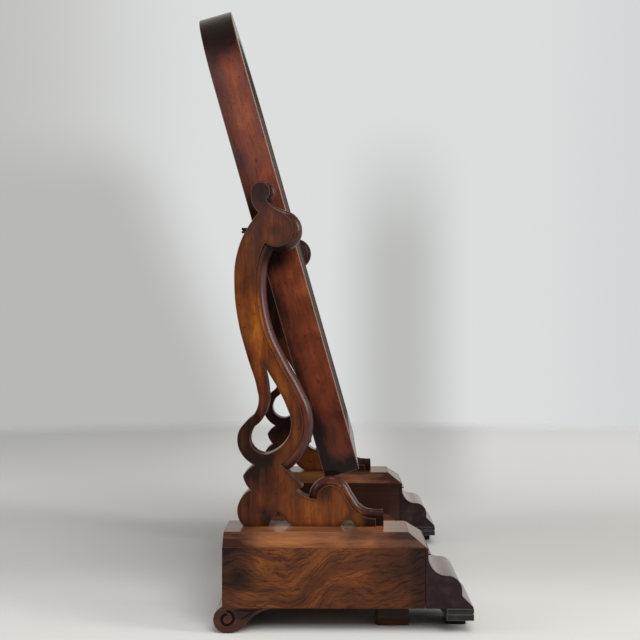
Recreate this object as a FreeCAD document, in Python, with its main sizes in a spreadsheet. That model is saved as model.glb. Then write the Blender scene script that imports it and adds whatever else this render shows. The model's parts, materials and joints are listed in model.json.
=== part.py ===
import FreeCAD, Part
import math
import os

import Sketcher

# Swing dressing table mirror: an arched mirror hung between two carved uprights, each standing on
# a box with an ogee-fronted drawer. A low bow-fronted platform links the boxes.
# Frame: X across, front towards -Y, Z up, origin on the floor under the middle of the whole.
# All lengths in millimetres, angles in degrees.

SIZES = [
    ("box_gap", 438.0, "clear width between the two boxes"),
    ("box_width", 121.0, "width of one box"),
    ("carcass_depth", 226.0, "front to back depth of a box without its drawer front"),
    ("foot_height", 28.0, "floor to the underside of a box"),
    ("side_thickness", 11.0, "thickness of a box side"),
    ("back_thickness", 9.0, "thickness of a box back"),
    ("bottom_thickness", 8.0, "thickness of a box bottom"),
    ("top_thickness", 14.5, "thickness of the bevelled box top"),
    ("bevel_run", 20.0, "level run of the bevel round the box top"),
    ("top_overhang", 2.5, "how far the box top stands over the drawer front"),
    ("scroll_radius", 15.2, "radius of the rear scroll foot's roll"),
    ("scroll_behind", 9.8, "how far the roll stands behind the box"),
    ("scroll_tail", 56.0, "length of the scroll foot's tail under the box"),
    ("scroll_groove", 1.5, "radius of the carved spiral groove"),
    ("scroll_eye", 5.8, "radius of the spiral's first half turn"),
    ("scroll_growth", 1.8, "how much wider its second half turn is"),
    ("block_depth", 38.0, "front to back length of the block foot"),
    ("block_width", 43.0, "width of the block foot"),
    ("block_setback", 16.0, "box front to the front of the block foot"),
    ("block_round", 6.0, "rounding of the block foot's rear corners"),
    ("platform_thickness", 21.0, "thickness of the centre platform"),
    ("platform_bow", 20.5, "how far the platform's front bows out"),
    ("platform_setback", 25.6, "box front to the platform's front beside a box"),
    ("platform_inset", 6.0, "box back to the platform's back"),
    ("front_fillet", 5.8, "height of the plain fillet at the top of a drawer front"),
    ("front_start", 3.3, "thickness of a drawer front at its fillet"),
    ("lip_height", 1.6, "height of the small lip under the fillet"),
    ("lip_reach", 2.8, "how far the lip stands out of the fillet"),
    ("lip_quirk", 2.0, "short upright face between lip and cavetto"),
    ("cavetto_radius", 21.0, "hollow upper curve of the ogee"),
    ("ovolo_radius", 16.5, "round lower curve of the ogee"),
    ("ovolo_drop", 5.7, "upright face below the ovolo"),
    ("splay_run", 12.6, "run and height of the splayed foot of the front"),
    ("front_toe", 1.9, "upright edge at the foot of the front"),
    ("front_reveal", 0.4, "gap between a drawer front and its box"),
    ("plinth_proud", 0.6, "how far the plinth strip stands past the front's toe"),
    ("plinth_depth", 30.5, "front to back depth of the plinth strip"),
    ("plinth_height", 13.3, "height of the plinth strip"),
    ("plinth_line", 5.0, "top of the plinth strip to its scored line"),
    ("score_width", 1.2, "width and depth of the scored line"),
    ("bracket_depth", 7.3, "depth of the cove bracket behind the plinth strip"),
    ("bracket_inset", 5.0, "how far the bracket stops short of the front's ends"),
    ("pad_depth", 24.0, "front to back length of the pad foot"),
    ("pad_width", 32.0, "width of the pad foot"),
    ("pad_setback", 5.0, "plinth front to pad foot"),
    ("pad_clearance", 0.8, "pad foot to floor"),
    ("drawer_length", 200.0, "length of a drawer behind its front"),
    ("drawer_wall", 7.0, "thickness of drawer sides and back"),
    ("drawer_play", 0.6, "clearance beside a drawer"),
    ("drawer_lift", 0.3, "running clearance under a drawer"),
    ("drawer_headroom", 7.0, "space over a drawer's sides"),
    ("panel_thickness", 4.0, "thickness of a drawer bottom"),
    ("panel_rise", 3.0, "drawer underside to its bottom panel"),
    ("groove_depth", 3.0, "depth of the grooves that hold a drawer bottom"),
    ("groove_play", 0.15, "clearance of a drawer bottom in its grooves"),
    ("support_offset", 55.5, "box outer face to the upright's outer face"),
    ("support_thickness", 30.0, "thickness of an upright"),
    ("support_rise", 343.0, "box top to the pivot axis"),
    ("support_depth", 169.0, "front to back length of an upright's foot"),
    ("pivot_back", 58.0, "box back to the pivot axis"),
    ("ball_radius", 19.8, "face radius of the round boss at the pivot"),
    ("ball_bead", 10.0, "radius of the rounded rim of that boss"),
    ("ball_ring", 14.3, "radius of the ring that the rim is centred on"),
    ("lobe_radius", 11.2, "face radius of the scroll at the top"),
    ("lobe_bead", 5.0, "radius of the rounded rim of that scroll"),
    ("rim_inset", 0.6, "how far that rim stays inside the scroll's back"),
    ("arm_bead", 11.8, "radius of the half-round along the arm's front"),
    ("toe_bead", 9.0, "radius of the half-round over the toe"),
    ("toe_length", 9.0, "length of the toe's narrow end"),
    ("toe_lead", 4.0, "how far that half-round starts inside the wood"),
    ("toe_inset", 1.0, "how far the wood under that end stays inside its half-round"),
    ("swing_gap", 11.2, "upright to mirror frame"),
    ("tilt_back", 15.85, "backward lean of the mirror at rest"),
    ("frame_thickness", 42.0, "front to back thickness of the mirror frame"),
    ("frame_face", 36.0, "width of the mirror frame's face"),
    ("frame_above", 314.0, "pivot axis to the top of the arch, along the frame"),
    ("frame_below", 297.0, "pivot axis to the frame's lower edge"),
    ("arch_rise", 125.0, "height of the frame's arched top"),
    ("pivot_from_front", 16.0, "frame face to the pivot axis"),
    ("rebate_width", 9.0, "width of the rebate that holds the plate"),
    ("frame_lip", 13.0, "frame face to the mirror plate"),
    ("plate_thickness", 4.0, "thickness of the mirror plate"),
    ("plate_play", 1.0, "clearance round the plate and backboard"),
    ("glazing_depth", 11.0, "mirror plate to backboard"),
    ("glazing_width", 13.0, "width of a glazing block"),
    ("glazing_length", 60.0, "length of a glazing block"),
    ("backboard_thickness", 8.0, "thickness of the backboard"),
    ("screw_radius", 1.6, "radius of a wood screw's shank"),
    ("screw_head", 3.2, "radius of a wood screw's head"),
    ("screw_head_height", 1.4, "height of a wood screw's head"),
    ("screw_length", 14.0, "length of a wood screw under its head"),
    ("screw_play", 0.05, "clearance round a screw, dowel or pin that stays put"),
    ("pin_radius", 5.0, "radius of the pivot pins"),
    ("pin_play", 0.05, "running clearance of a pivot pin in its bush"),
    ("pin_seat", 22.0, "depth of a pivot pin in its stile"),
    ("pin_journal", 20.0, "length of a pivot pin inside the upright"),
    ("shoulder_radius", 8.5, "radius of the pivot pin's shoulder"),
    ("side_play", 0.3, "pivot shoulder to bush flange"),
    ("pivot_plate_thickness", 3.0, "thickness of the brass plate on a stile"),
    ("pivot_plate_width", 24.0, "width of that plate"),
    ("pivot_plate_length", 36.0, "length of that plate"),
    ("pivot_screw_pitch", 26.0, "distance between that plate's two screws"),
    ("bush_radius", 8.0, "outside radius of a pivot bush"),
    ("bush_length", 24.0, "length of a pivot bush inside the upright"),
    ("flange_radius", 13.0, "radius of the bush's flange"),
    ("flange_thickness", 3.0, "thickness of the bush's flange"),
    ("clamp_radius", 2.4, "shank radius of a clamp screw"),
    ("clamp_head", 3.2, "head radius of a clamp screw"),
    ("clamp_head_length", 7.5, "length of a clamp screw's head"),
    ("clamp_seat", 33.5, "pivot axis to the seat of a clamp screw's head"),
    ("clamp_play", 0.08, "running clearance of a clamp screw"),
    ("clamp_slot", 1.2, "width and depth of the slot in a clamp screw"),
    ("dowel_radius", 4.0, "radius of the wooden dowels"),
    ("dowel_in_top", 11.0, "depth of an upright's dowel in the box top"),
    ("dowel_in_support", 16.0, "depth of that dowel in the upright"),
    ("dowel_in_side", 8.0, "depth of a platform dowel in the box side"),
    ("dowel_in_platform", 20.0, "depth of that dowel in the platform"),
]

doc = FreeCAD.newDocument("dressing_table_mirror")
dims = doc.addObject("Spreadsheet::Sheet", "dims")
for row, (name, size, meaning) in enumerate(SIZES, start=1):
    dims.set(f"A{row}", meaning)
    dims.set(f"B{row}", str(size))
    dims.setAlias(f"B{row}", name)
doc.recompute()

nodes = {}
SIDES = (("left", -1), ("right", 1))


def num(expression):
    """Value of an expression over the sheet."""
    return float(dims.evalExpression(expression.replace("dims.", "")))


# Levels and planes that several pieces share, as expressions over the sheet

FRONT_HEIGHT = (
    "(dims.front_fillet + dims.lip_height + dims.lip_quirk + dims.cavetto_radius"
    " + dims.ovolo_radius + dims.ovolo_drop + dims.splay_run + dims.front_toe)"
)
CARCASS_HEIGHT = f"({FRONT_HEIGHT} + dims.front_reveal)"
TOP_UNDERSIDE = f"(dims.foot_height + {CARCASS_HEIGHT})"
BOX_TOP = f"({TOP_UNDERSIDE} + dims.top_thickness)"
FLOOR_BOARD = "(dims.foot_height + dims.bottom_thickness)"
PIVOT_Z = f"({BOX_TOP} + dims.support_rise)"

TOE_REACH = "(dims.front_start + dims.cavetto_radius + dims.ovolo_radius + dims.splay_run)"
FRONT_REACH = f"(dims.front_reveal + {TOE_REACH} + dims.plinth_proud)"
FRAME_BACK = "(dims.frame_thickness - dims.pivot_from_front)"
REAR_REACH = (
    "(dims.carcass_depth - dims.pivot_back + dims.frame_above * sin(dims.tilt_back)"
    f" + {FRAME_BACK} * cos(dims.tilt_back))"
)
FRONT_Y = f"(({FRONT_REACH} - {REAR_REACH}) / 2)"
BACK_Y = f"({FRONT_Y} + dims.carcass_depth)"
PIVOT_Y = f"({BACK_Y} - dims.pivot_back)"
DRAWER_FACE_Y = f"({FRONT_Y} - dims.front_reveal)"
PLINTH_FACE_Y = f"({FRONT_Y} - {FRONT_REACH})"

INNER_X = "(dims.box_gap / 2)"
OUTER_X = "(dims.box_gap / 2 + dims.box_width)"
BOX_MIDDLE_X = "(dims.box_gap / 2 + dims.box_width / 2)"
SUPPORT_OUTER_X = f"({OUTER_X} - dims.support_offset)"
SUPPORT_INNER_X = f"({SUPPORT_OUTER_X} - dims.support_thickness)"
SUPPORT_MIDDLE_X = f"({SUPPORT_OUTER_X} - dims.support_thickness / 2)"
FRAME_HALF = f"({SUPPORT_INNER_X} - dims.swing_gap)"
SIGHT_HALF = f"({FRAME_HALF} - dims.frame_face)"
REBATE_HALF = f"({SIGHT_HALF} + dims.rebate_width)"

FRAME_FRONT = "(-dims.pivot_from_front)"
PLATE_FRONT = f"({FRAME_FRONT} + dims.frame_lip)"
PLATE_BACK = f"({PLATE_FRONT} + dims.plate_thickness)"
BOARD_FRONT = f"({PLATE_BACK} + dims.glazing_depth)"
BOARD_BACK = f"({BOARD_FRONT} + dims.backboard_thickness)"
SPRINGING = "(dims.frame_above - dims.arch_rise)"
SIGHT_BOTTOM = "(-dims.frame_below + dims.frame_face)"
REBATE_BOTTOM = f"({SIGHT_BOTTOM} - dims.rebate_width)"


# Ways of making and placing pieces


def place(piece, x, y, z):
    """Bind a piece's position to three expressions."""
    piece.setExpression("Placement.Base.x", x)
    piece.setExpression("Placement.Base.y", y)
    piece.setExpression("Placement.Base.z", z)
    return piece


def lean(piece, x="0", y="0", z="0"):
    """Put a piece drawn upright about the pivot axis into the mirror's backward lean."""
    piece.Placement = FreeCAD.Placement(
        FreeCAD.Vector(0, 0, 0), FreeCAD.Rotation(FreeCAD.Vector(1, 0, 0), -1)
    )
    piece.setExpression("Placement.Rotation.Angle", "-dims.tilt_back")
    return place(
        piece,
        x,
        f"{PIVOT_Y} + ({y}) * cos(dims.tilt_back) + ({z}) * sin(dims.tilt_back)",
        f"{PIVOT_Z} - ({y}) * sin(dims.tilt_back) + ({z}) * cos(dims.tilt_back)",
    )


def keep(label, piece):
    """Name a finished piece, so that it is written out."""
    piece.Label = label
    nodes[label] = piece
    return piece


def span(sign, near, far):
    """Lowest X of a piece that runs from near to far on one side of the middle."""
    return f"({near})" if sign > 0 else f"(-({far}))"


def box(name, x, y, z, length, width, height):
    piece = doc.addObject("Part::Box", name)
    piece.setExpression("Length", length)
    piece.setExpression("Width", width)
    piece.setExpression("Height", height)
    return place(piece, x, y, z)


TURNS = {
    "x": FreeCAD.Rotation(FreeCAD.Vector(0, 1, 0), 90),
    "y": FreeCAD.Rotation(FreeCAD.Vector(1, 0, 0), -90),
    "z": FreeCAD.Rotation(),
}


def rod(name, axis, x, y, z, radius, length):
    """Cylinder that runs from its place in the plus direction of an axis."""
    piece = doc.addObject("Part::Cylinder", name)
    piece.setExpression("Radius", radius)
    piece.setExpression("Height", length)
    piece.Placement = FreeCAD.Placement(FreeCAD.Vector(0, 0, 0), TURNS[axis])
    return place(piece, x, y, z)


def group(name, pieces):
    piece = doc.addObject("Part::Compound", name)
    piece.Links = pieces
    return piece


def cut(name, base, tools):
    piece = doc.addObject("Part::Cut", name)
    piece.Base = base
    piece.Tool = tools[0] if len(tools) == 1 else group(name + "_tools", tools)
    return piece


def fuse(name, first, second):
    piece = doc.addObject("Part::Fuse", name)
    piece.Base = first
    piece.Tool = second
    piece.Refine = True
    return piece


def oval(name, turn, x, y, z, major, minor, direction, length):
    """Solid with an elliptical section, drawn at a place and run along a direction."""
    ring = doc.addObject("Part::Ellipse", name + "_ring")
    ring.setExpression("MajorRadius", major)
    ring.setExpression("MinorRadius", minor)
    ring.Placement = FreeCAD.Placement(FreeCAD.Vector(0, 0, 0), turn)
    place(ring, x, y, z)
    solid = doc.addObject("Part::Extrusion", name)
    solid.Base = ring
    solid.DirMode = "Custom"
    solid.Dir = direction
    solid.setExpression("LengthFwd", length)
    solid.Solid = True
    return solid


def draw(body, name, role, corners):
    """Closed sketch through corners; (x, y, radius, turn) is reached by an arc, turn +1 is anticlockwise."""
    sketch = body.newObject("Sketcher::SketchObject", name)
    plane = next(plane for plane in body.Origin.OriginFeatures if plane.Role == role)
    sketch.AttachmentSupport = [(plane, "")]
    sketch.MapMode = "FlatFace"
    places = [FreeCAD.Vector(num(corner[0]), num(corner[1]), 0) for corner in corners]
    ends = []
    for index, corner in enumerate(corners):
        begin = places[index - 1]
        finish = places[index]
        if len(corner) == 2:
            edge = sketch.addGeometry(Part.LineSegment(begin, finish))
            ends.append((edge, 1, 2))
            continue
        radius = num(corner[2])
        turn = corner[3]
        chord = finish - begin
        side = FreeCAD.Vector(-chord.y, chord.x, 0).normalize() * turn
        centre = begin + chord / 2 + side * math.sqrt(max(radius ** 2 - (chord.Length / 2) ** 2, 0))
        low, high = (begin, finish) if turn > 0 else (finish, begin)
        first = math.atan2(low.y - centre.y, low.x - centre.x)
        last = math.atan2(high.y - centre.y, high.x - centre.x)
        circle = Part.Circle(centre, FreeCAD.Vector(0, 0, 1), radius)
        if last < first:
            last = last + 2 * math.pi
        edge = sketch.addGeometry(Part.ArcOfCircle(circle, first, last))
        ends.append((edge, 1, 2) if turn > 0 else (edge, 2, 1))
        bound = sketch.addConstraint(Sketcher.Constraint("Radius", edge, radius))
        sketch.setExpression(f"Constraints[{bound}]", corner[2])
    for index, (edge, begin, finish) in enumerate(ends):
        last_edge, _, last_finish = ends[index - 1]
        sketch.addConstraint(Sketcher.Constraint("Coincident", last_edge, last_finish, edge, begin))
        for kind, axis, place_along, expression in (
            ("DistanceX", -2, places[index].x, corners[index][0]),
            ("DistanceY", -1, places[index].y, corners[index][1]),
        ):
            if expression == "0":
                sketch.addConstraint(Sketcher.Constraint("PointOnObject", edge, finish, axis))
                continue
            bound = sketch.addConstraint(Sketcher.Constraint(kind, -1, 1, edge, finish, place_along))
            sketch.setExpression(f"Constraints[{bound}]", expression)
    return sketch


def padded(label, role, corners, length):
    """Body made by padding one closed sketch."""
    body = doc.addObject("PartDesign::Body", label)
    pad = body.newObject("PartDesign::Pad", label + "_pad")
    pad.Profile = draw(body, label + "_outline", role, corners)
    pad.setExpression("Length", length)
    return body


def turned(label, axis, corners):
    """Body turned about one axis of its sketch on the XY plane."""
    body = doc.addObject("PartDesign::Body", label)
    sketch = draw(body, label + "_outline", "XY_Plane", corners)
    lathe = body.newObject("PartDesign::Revolution", label + "_turning")
    lathe.Profile = sketch
    lathe.ReferenceAxis = (sketch, [axis])
    lathe.Angle = 360
    return body


# Smooth outlines: arcs joined so that they share their tangents


def arc_edge(begin, finish, heading):
    """Arc from begin to finish that sets off along heading, or a line where it is straight."""
    chord = finish - begin
    lean_angle = math.atan2(
        chord.x * heading.y - chord.y * heading.x, chord.x * heading.x + chord.y * heading.y
    )
    rise = chord.Length / 2 * math.tan(lean_angle / 2)
    if abs(rise) < 1e-4:
        return Part.LineSegment(begin, finish).toShape()
    left = FreeCAD.Vector(-chord.y, chord.x, 0).normalize()
    return Part.Arc(begin, begin + chord / 2 + left * rise, finish).toShape()


def headings(points):
    """Tangent at each point, from the circle through it and its neighbours."""
    found = []
    for before, here, after in zip(points, points[1:], points[2:]):
        first = here - before
        second = after - here
        share = second.Length / first.Length
        found.append((first * share + second / share).normalize())
    steps = [(points[1] - points[0]).normalize(), (points[-1] - points[-2]).normalize()]
    start = steps[0] * (2 * steps[0].dot(found[0])) - found[0]
    end = steps[1] * (2 * steps[1].dot(found[-1])) - found[-1]
    return [start] + found + [end]


def smooth(points):
    """Edges through points, two tangent arcs to each step; two points alone make a line."""
    if len(points) == 2:
        return [Part.LineSegment(points[0], points[1]).toShape()]
    edges = []
    tangents = headings(points)
    for begin, finish, out, into in zip(points, points[1:], tangents, tangents[1:]):
        step = finish - begin
        both = out + into
        spread = 2 * (1 - out.dot(into))
        along = step.dot(both)
        if spread < 1e-9:
            reach = step.dot(step) / (2 * along)
        else:
            reach = (math.sqrt(along ** 2 + spread * step.dot(step)) - along) / spread
        meet = (begin + finish + (out - into) * reach) / 2
        edges.append(arc_edge(begin, meet, out))
        back = arc_edge(finish, meet, into * -1)
        edges.append(back.reversed())
    return edges


def tube(edges, radius, lead=0):
    """Round bar along a smooth chain of edges in the XY plane, begun by a straight lead."""
    start = edges[0].valueAt(edges[0].FirstParameter)
    heading = edges[0].tangentAt(edges[0].FirstParameter)
    if lead:
        edges = [Part.LineSegment(start - heading * lead, start).toShape()] + edges
        start = start - heading * lead
    ring = Part.Wire([Part.Circle(start, heading, radius).toShape()])
    return Part.Wire(edges).makePipeShell([ring], True, False)


def feature(label, shape):
    piece = doc.addObject("Part::Feature", label)
    piece.Shape = shape
    return piece


# Boxes


def box_carcass(side, sign):
    """Sides, back, bottom, bevelled top and feet of one box."""
    width_inside = "(dims.box_width - 2 * dims.side_thickness)"
    inside_x = span(sign, f"{INNER_X} + dims.side_thickness", f"{OUTER_X} - dims.side_thickness")
    box_x = span(sign, INNER_X, OUTER_X)
    low = "dims.foot_height"
    side_size = ("dims.side_thickness", "dims.carcass_depth", CARCASS_HEIGHT)
    holes = platform_dowels(side, sign, "dims.screw_play")

    outer_x = span(sign, f"{OUTER_X} - dims.side_thickness", OUTER_X)
    keep(f"{side}_box_outer_side", box(f"{side}_outer_board", outer_x, FRONT_Y, low, *side_size))

    inner_x = span(sign, INNER_X, f"{INNER_X} + dims.side_thickness")
    inner = box(f"{side}_inner_board", inner_x, FRONT_Y, low, *side_size)
    keep(f"{side}_box_inner_side", cut(f"{side}_inner_bored", inner, holes))

    back_y = f"{BACK_Y} - dims.back_thickness"
    back_size = (width_inside, "dims.back_thickness", CARCASS_HEIGHT)
    keep(f"{side}_box_back", box(f"{side}_back_board", inside_x, back_y, low, *back_size))
    bottom_size = (width_inside, "dims.carcass_depth - dims.back_thickness", "dims.bottom_thickness")
    keep(f"{side}_box_bottom", box(f"{side}_bottom_board", inside_x, FRONT_Y, low, *bottom_size))

    top = doc.addObject("Part::Wedge", f"{side}_top_board")
    depth = "(dims.carcass_depth + dims.top_overhang)"
    for edge, expression in (
        ("Xmin", "0"),
        ("Xmax", "dims.box_width"),
        ("X2min", "dims.bevel_run"),
        ("X2max", "dims.box_width - dims.bevel_run"),
        ("Ymin", "0"),
        ("Ymax", "dims.top_thickness"),
        ("Zmin", "0"),
        ("Zmax", depth),
        ("Z2min", "0"),
        ("Z2max", f"{depth} - dims.bevel_run"),
    ):
        top.setExpression(edge, expression)
    top.Placement = FreeCAD.Placement(FreeCAD.Vector(0, 0, 0), FreeCAD.Rotation(FreeCAD.Vector(1, 0, 0), 90))
    place(top, box_x, BACK_Y, TOP_UNDERSIDE)
    keep(f"{side}_box_top", cut(f"{side}_top_bored", top, support_dowels(side, sign, "dims.screw_play")))

    scroll_foot(side, box_x)
    block_foot(side, sign)


# Where the scroll foot's underside passes: the swell as shares of the roll's radius, the waist and
# the hollow as shares of the tail's length and the foot's height
SWELL = (0.82, 0.2)
WAIST = (0.5, 0.42)
HOLLOW = (0.71, 0.79)


def scroll_foot(side, box_x):
    """Rolled foot under the back of a box, carved with a spiral at both ends."""
    width = num("dims.box_width")
    radius = num("dims.scroll_radius")
    behind = num("dims.scroll_behind")
    tail = num("dims.scroll_tail")
    height = num("dims.foot_height")
    groove = num("dims.scroll_groove")

    # Section with x forward from the box's back and y up from the floor
    centre = FreeCAD.Vector(radius - behind, radius, 0)
    seat = FreeCAD.Vector(0, radius + math.sqrt(radius ** 2 - centre.x ** 2), 0)
    sole = FreeCAD.Vector(centre.x, 0, 0)
    heel = FreeCAD.Vector(centre.x - radius, radius, 0)
    swell = FreeCAD.Vector(centre.x + radius * SWELL[0], radius * SWELL[1], 0)
    waist = FreeCAD.Vector(tail * WAIST[0], height * WAIST[1], 0)
    hollow = FreeCAD.Vector(tail * HOLLOW[0], height * HOLLOW[1], 0)
    tip = FreeCAD.Vector(tail, height, 0)
    corner = FreeCAD.Vector(0, height, 0)
    section = Part.Wire(
        [
            Part.LineSegment(corner, seat).toShape(),
            Part.Arc(seat, heel, sole).toShape(),
            Part.Arc(sole, swell, waist).toShape(),
            Part.Arc(waist, hollow, tip).toShape(),
            Part.LineSegment(tip, corner).toShape(),
        ]
    )
    shape = Part.Face(section).extrude(FreeCAD.Vector(0, 0, width))

    # The spiral is two half turns, from over the eye round behind it and up again in front
    eye = num("dims.scroll_eye")
    wide = eye + num("dims.scroll_growth")
    begin = centre + FreeCAD.Vector(0, eye, 0)
    under = centre + FreeCAD.Vector(0, -eye, 0)
    finish = under + FreeCAD.Vector(0, 2 * wide, 0)
    edges = [
        Part.Arc(begin, centre + FreeCAD.Vector(-eye, 0, 0), under).toShape(),
        Part.Arc(under, under + FreeCAD.Vector(wide, wide, 0), finish).toShape(),
    ]
    for level in (0, width):
        carved = tube(edges, groove)
        carved.translate(FreeCAD.Vector(0, 0, level))
        shape = shape.cut(carved)

    foot = feature(f"{side}_scroll_foot_solid", shape)
    # Section x goes to -Y, section y to Z and its run to -X
    foot.Placement = FreeCAD.Placement(
        FreeCAD.Vector(num(box_x) + width, num(BACK_Y), 0),
        FreeCAD.Rotation(FreeCAD.Vector(0, -1, 0), FreeCAD.Vector(0, 0, 1), FreeCAD.Vector(-1, 0, 0), "XYZ"),
    )
    keep(f"{side}_scroll_foot", foot)


def block_foot(side, sign):
    """Plain block under the front of a box, its rear corners rounded."""
    label = f"{side}_block_foot"
    half = "dims.block_width / 2"
    body = padded(
        label,
        "XY_Plane",
        [
            (f"-{half}", "0"),
            (half, "0"),
            (half, "dims.block_depth - dims.block_round"),
            (f"{half} - dims.block_round", "dims.block_depth", "dims.block_round", 1),
            (f"-{half} + dims.block_round", "dims.block_depth"),
            (f"-{half}", "dims.block_depth - dims.block_round", "dims.block_round", 1),
        ],
        "dims.foot_height",
    )
    place(body, f"{sign} * {BOX_MIDDLE_X}", f"{FRONT_Y} + dims.block_setback", "0")
    keep(label, body)


# Centre platform

PLATFORM_FRONT_Y = f"({FRONT_Y} + dims.platform_setback)"
PLATFORM_DEPTH = "(dims.carcass_depth - dims.platform_setback - dims.platform_inset)"


def platform_dowels(side, sign, play):
    """Three level dowels that join the platform to a box, or their holes when play is added."""
    length = "dims.dowel_in_side + dims.dowel_in_platform"
    start = span(sign, f"{INNER_X} - dims.dowel_in_platform", f"{INNER_X} + dims.dowel_in_side")
    radius = f"dims.dowel_radius + {play}"
    return [
        rod(
            f"{side}_platform_rod",
            "x",
            start,
            f"{PLATFORM_FRONT_Y} + {share} * {PLATFORM_DEPTH}",
            "dims.foot_height + dims.platform_thickness / 2",
            radius,
            length,
        )
        for share in (0.15, 0.5, 0.85)
    ]


def platform():
    """Bow-fronted board between the boxes, level with their undersides."""
    board = box(
        "platform_board",
        f"-{INNER_X}",
        PLATFORM_FRONT_Y,
        "dims.foot_height",
        "dims.box_gap",
        PLATFORM_DEPTH,
        "dims.platform_thickness",
    )
    bow = oval(
        "platform_bow",
        FreeCAD.Rotation(),
        "0",
        PLATFORM_FRONT_Y,
        "dims.foot_height",
        INNER_X,
        "dims.platform_bow",
        FreeCAD.Vector(0, 0, 1),
        "dims.platform_thickness",
    )
    holes = []
    for side, sign in SIDES:
        holes += platform_dowels(side, sign, "dims.screw_play")
        label = f"{side}_platform_dowels"
        keep(label, group(label, platform_dowels(side, sign, "0")))
    keep("centre_platform", cut("platform_bored", fuse("platform_bowed", board, bow), holes))


# Drawers


def drawer(side, sign):
    """Ogee front with its plinth, and the plain box behind it."""
    drawer_front(side, sign)
    plinth(side, sign)

    width = "(dims.box_width - 2 * dims.side_thickness - 2 * dims.drawer_play)"
    near = f"{INNER_X} + dims.side_thickness + dims.drawer_play"
    far = f"{OUTER_X} - dims.side_thickness - dims.drawer_play"
    floor = f"({FLOOR_BOARD} + dims.drawer_lift)"
    height = f"({CARCASS_HEIGHT} - dims.bottom_thickness - dims.drawer_lift - dims.drawer_headroom)"
    panel_z = f"({floor} + dims.panel_rise)"

    # The bottom panel lies in grooves of the two sides and the back
    grooved = "dims.groove_depth - dims.groove_play"
    panel_x = span(sign, f"{near} + dims.drawer_wall - ({grooved})", f"{far} - dims.drawer_wall + {grooved}")
    panel_width = f"{width} - 2 * dims.drawer_wall + 2 * ({grooved})"
    panel_length = f"dims.drawer_length - dims.drawer_wall + {grooved}"
    panel_size = (panel_width, panel_length, "dims.panel_thickness")
    keep(f"{side}_drawer_bottom", box(f"{side}_drawer_panel", panel_x, DRAWER_FACE_Y, panel_z, *panel_size))

    def groove(name):
        inset = "dims.drawer_wall - dims.groove_depth"
        return box(
            name,
            span(sign, f"{near} + {inset}", f"{far} - ({inset})"),
            DRAWER_FACE_Y,
            f"{panel_z} - dims.groove_play",
            f"{width} - 2 * dims.drawer_wall + 2 * dims.groove_depth",
            "dims.drawer_length - dims.drawer_wall + dims.groove_depth",
            "dims.panel_thickness + 2 * dims.groove_play",
        )

    for part, low, high in (
        ("inner", near, f"{near} + dims.drawer_wall"),
        ("outer", f"{far} - dims.drawer_wall", far),
    ):
        label = f"{side}_drawer_{part}_side"
        board_size = ("dims.drawer_wall", "dims.drawer_length", height)
        board = box(label + "_board", span(sign, low, high), DRAWER_FACE_Y, floor, *board_size)
        keep(label, cut(label + "_grooved", board, [groove(label + "_groove")]))

    label = f"{side}_drawer_back"
    board = box(
        label + "_board",
        span(sign, f"{near} + dims.drawer_wall", f"{far} - dims.drawer_wall"),
        f"{DRAWER_FACE_Y} + dims.drawer_length - dims.drawer_wall",
        floor,
        f"{width} - 2 * dims.drawer_wall",
        "dims.drawer_wall",
        height,
    )
    keep(label, cut(label + "_grooved", board, [groove(label + "_groove")]))


def drawer_front(side, sign):
    """Moulded front: fillet, lip, cavetto, ovolo, splay and toe from the top down."""
    toe_top = "dims.front_toe"
    splay_top = f"({toe_top} + dims.splay_run)"
    ovolo_foot = f"({splay_top} + dims.ovolo_drop)"
    ovolo_top = f"({ovolo_foot} + dims.ovolo_radius)"
    cavetto_top = f"({ovolo_top} + dims.cavetto_radius)"
    lip_foot = f"({cavetto_top} + dims.lip_quirk)"
    lip_top = f"({lip_foot} + dims.lip_height)"
    lip_out = "-(dims.front_start + dims.lip_reach)"
    waist = "-(dims.front_start + dims.cavetto_radius)"
    breast = "-(dims.front_start + dims.cavetto_radius + dims.ovolo_radius)"
    label = f"{side}_drawer_front"
    body = padded(
        label,
        "YZ_Plane",
        [
            ("0", "0"),
            ("0", FRONT_HEIGHT),
            ("-dims.front_start", FRONT_HEIGHT),
            ("-dims.front_start", lip_top),
            (lip_out, lip_top),
            (lip_out, lip_foot),
            ("-dims.front_start", lip_foot),
            ("-dims.front_start", cavetto_top),
            (waist, ovolo_top, "dims.cavetto_radius", -1),
            (breast, ovolo_foot, "dims.ovolo_radius", 1),
            (breast, splay_top),
            (f"-{TOE_REACH}", toe_top),
            (f"-{TOE_REACH}", "0"),
        ],
        "dims.box_width",
    )
    keep(label, place(body, span(sign, INNER_X, OUTER_X), DRAWER_FACE_Y, "dims.foot_height"))


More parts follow.
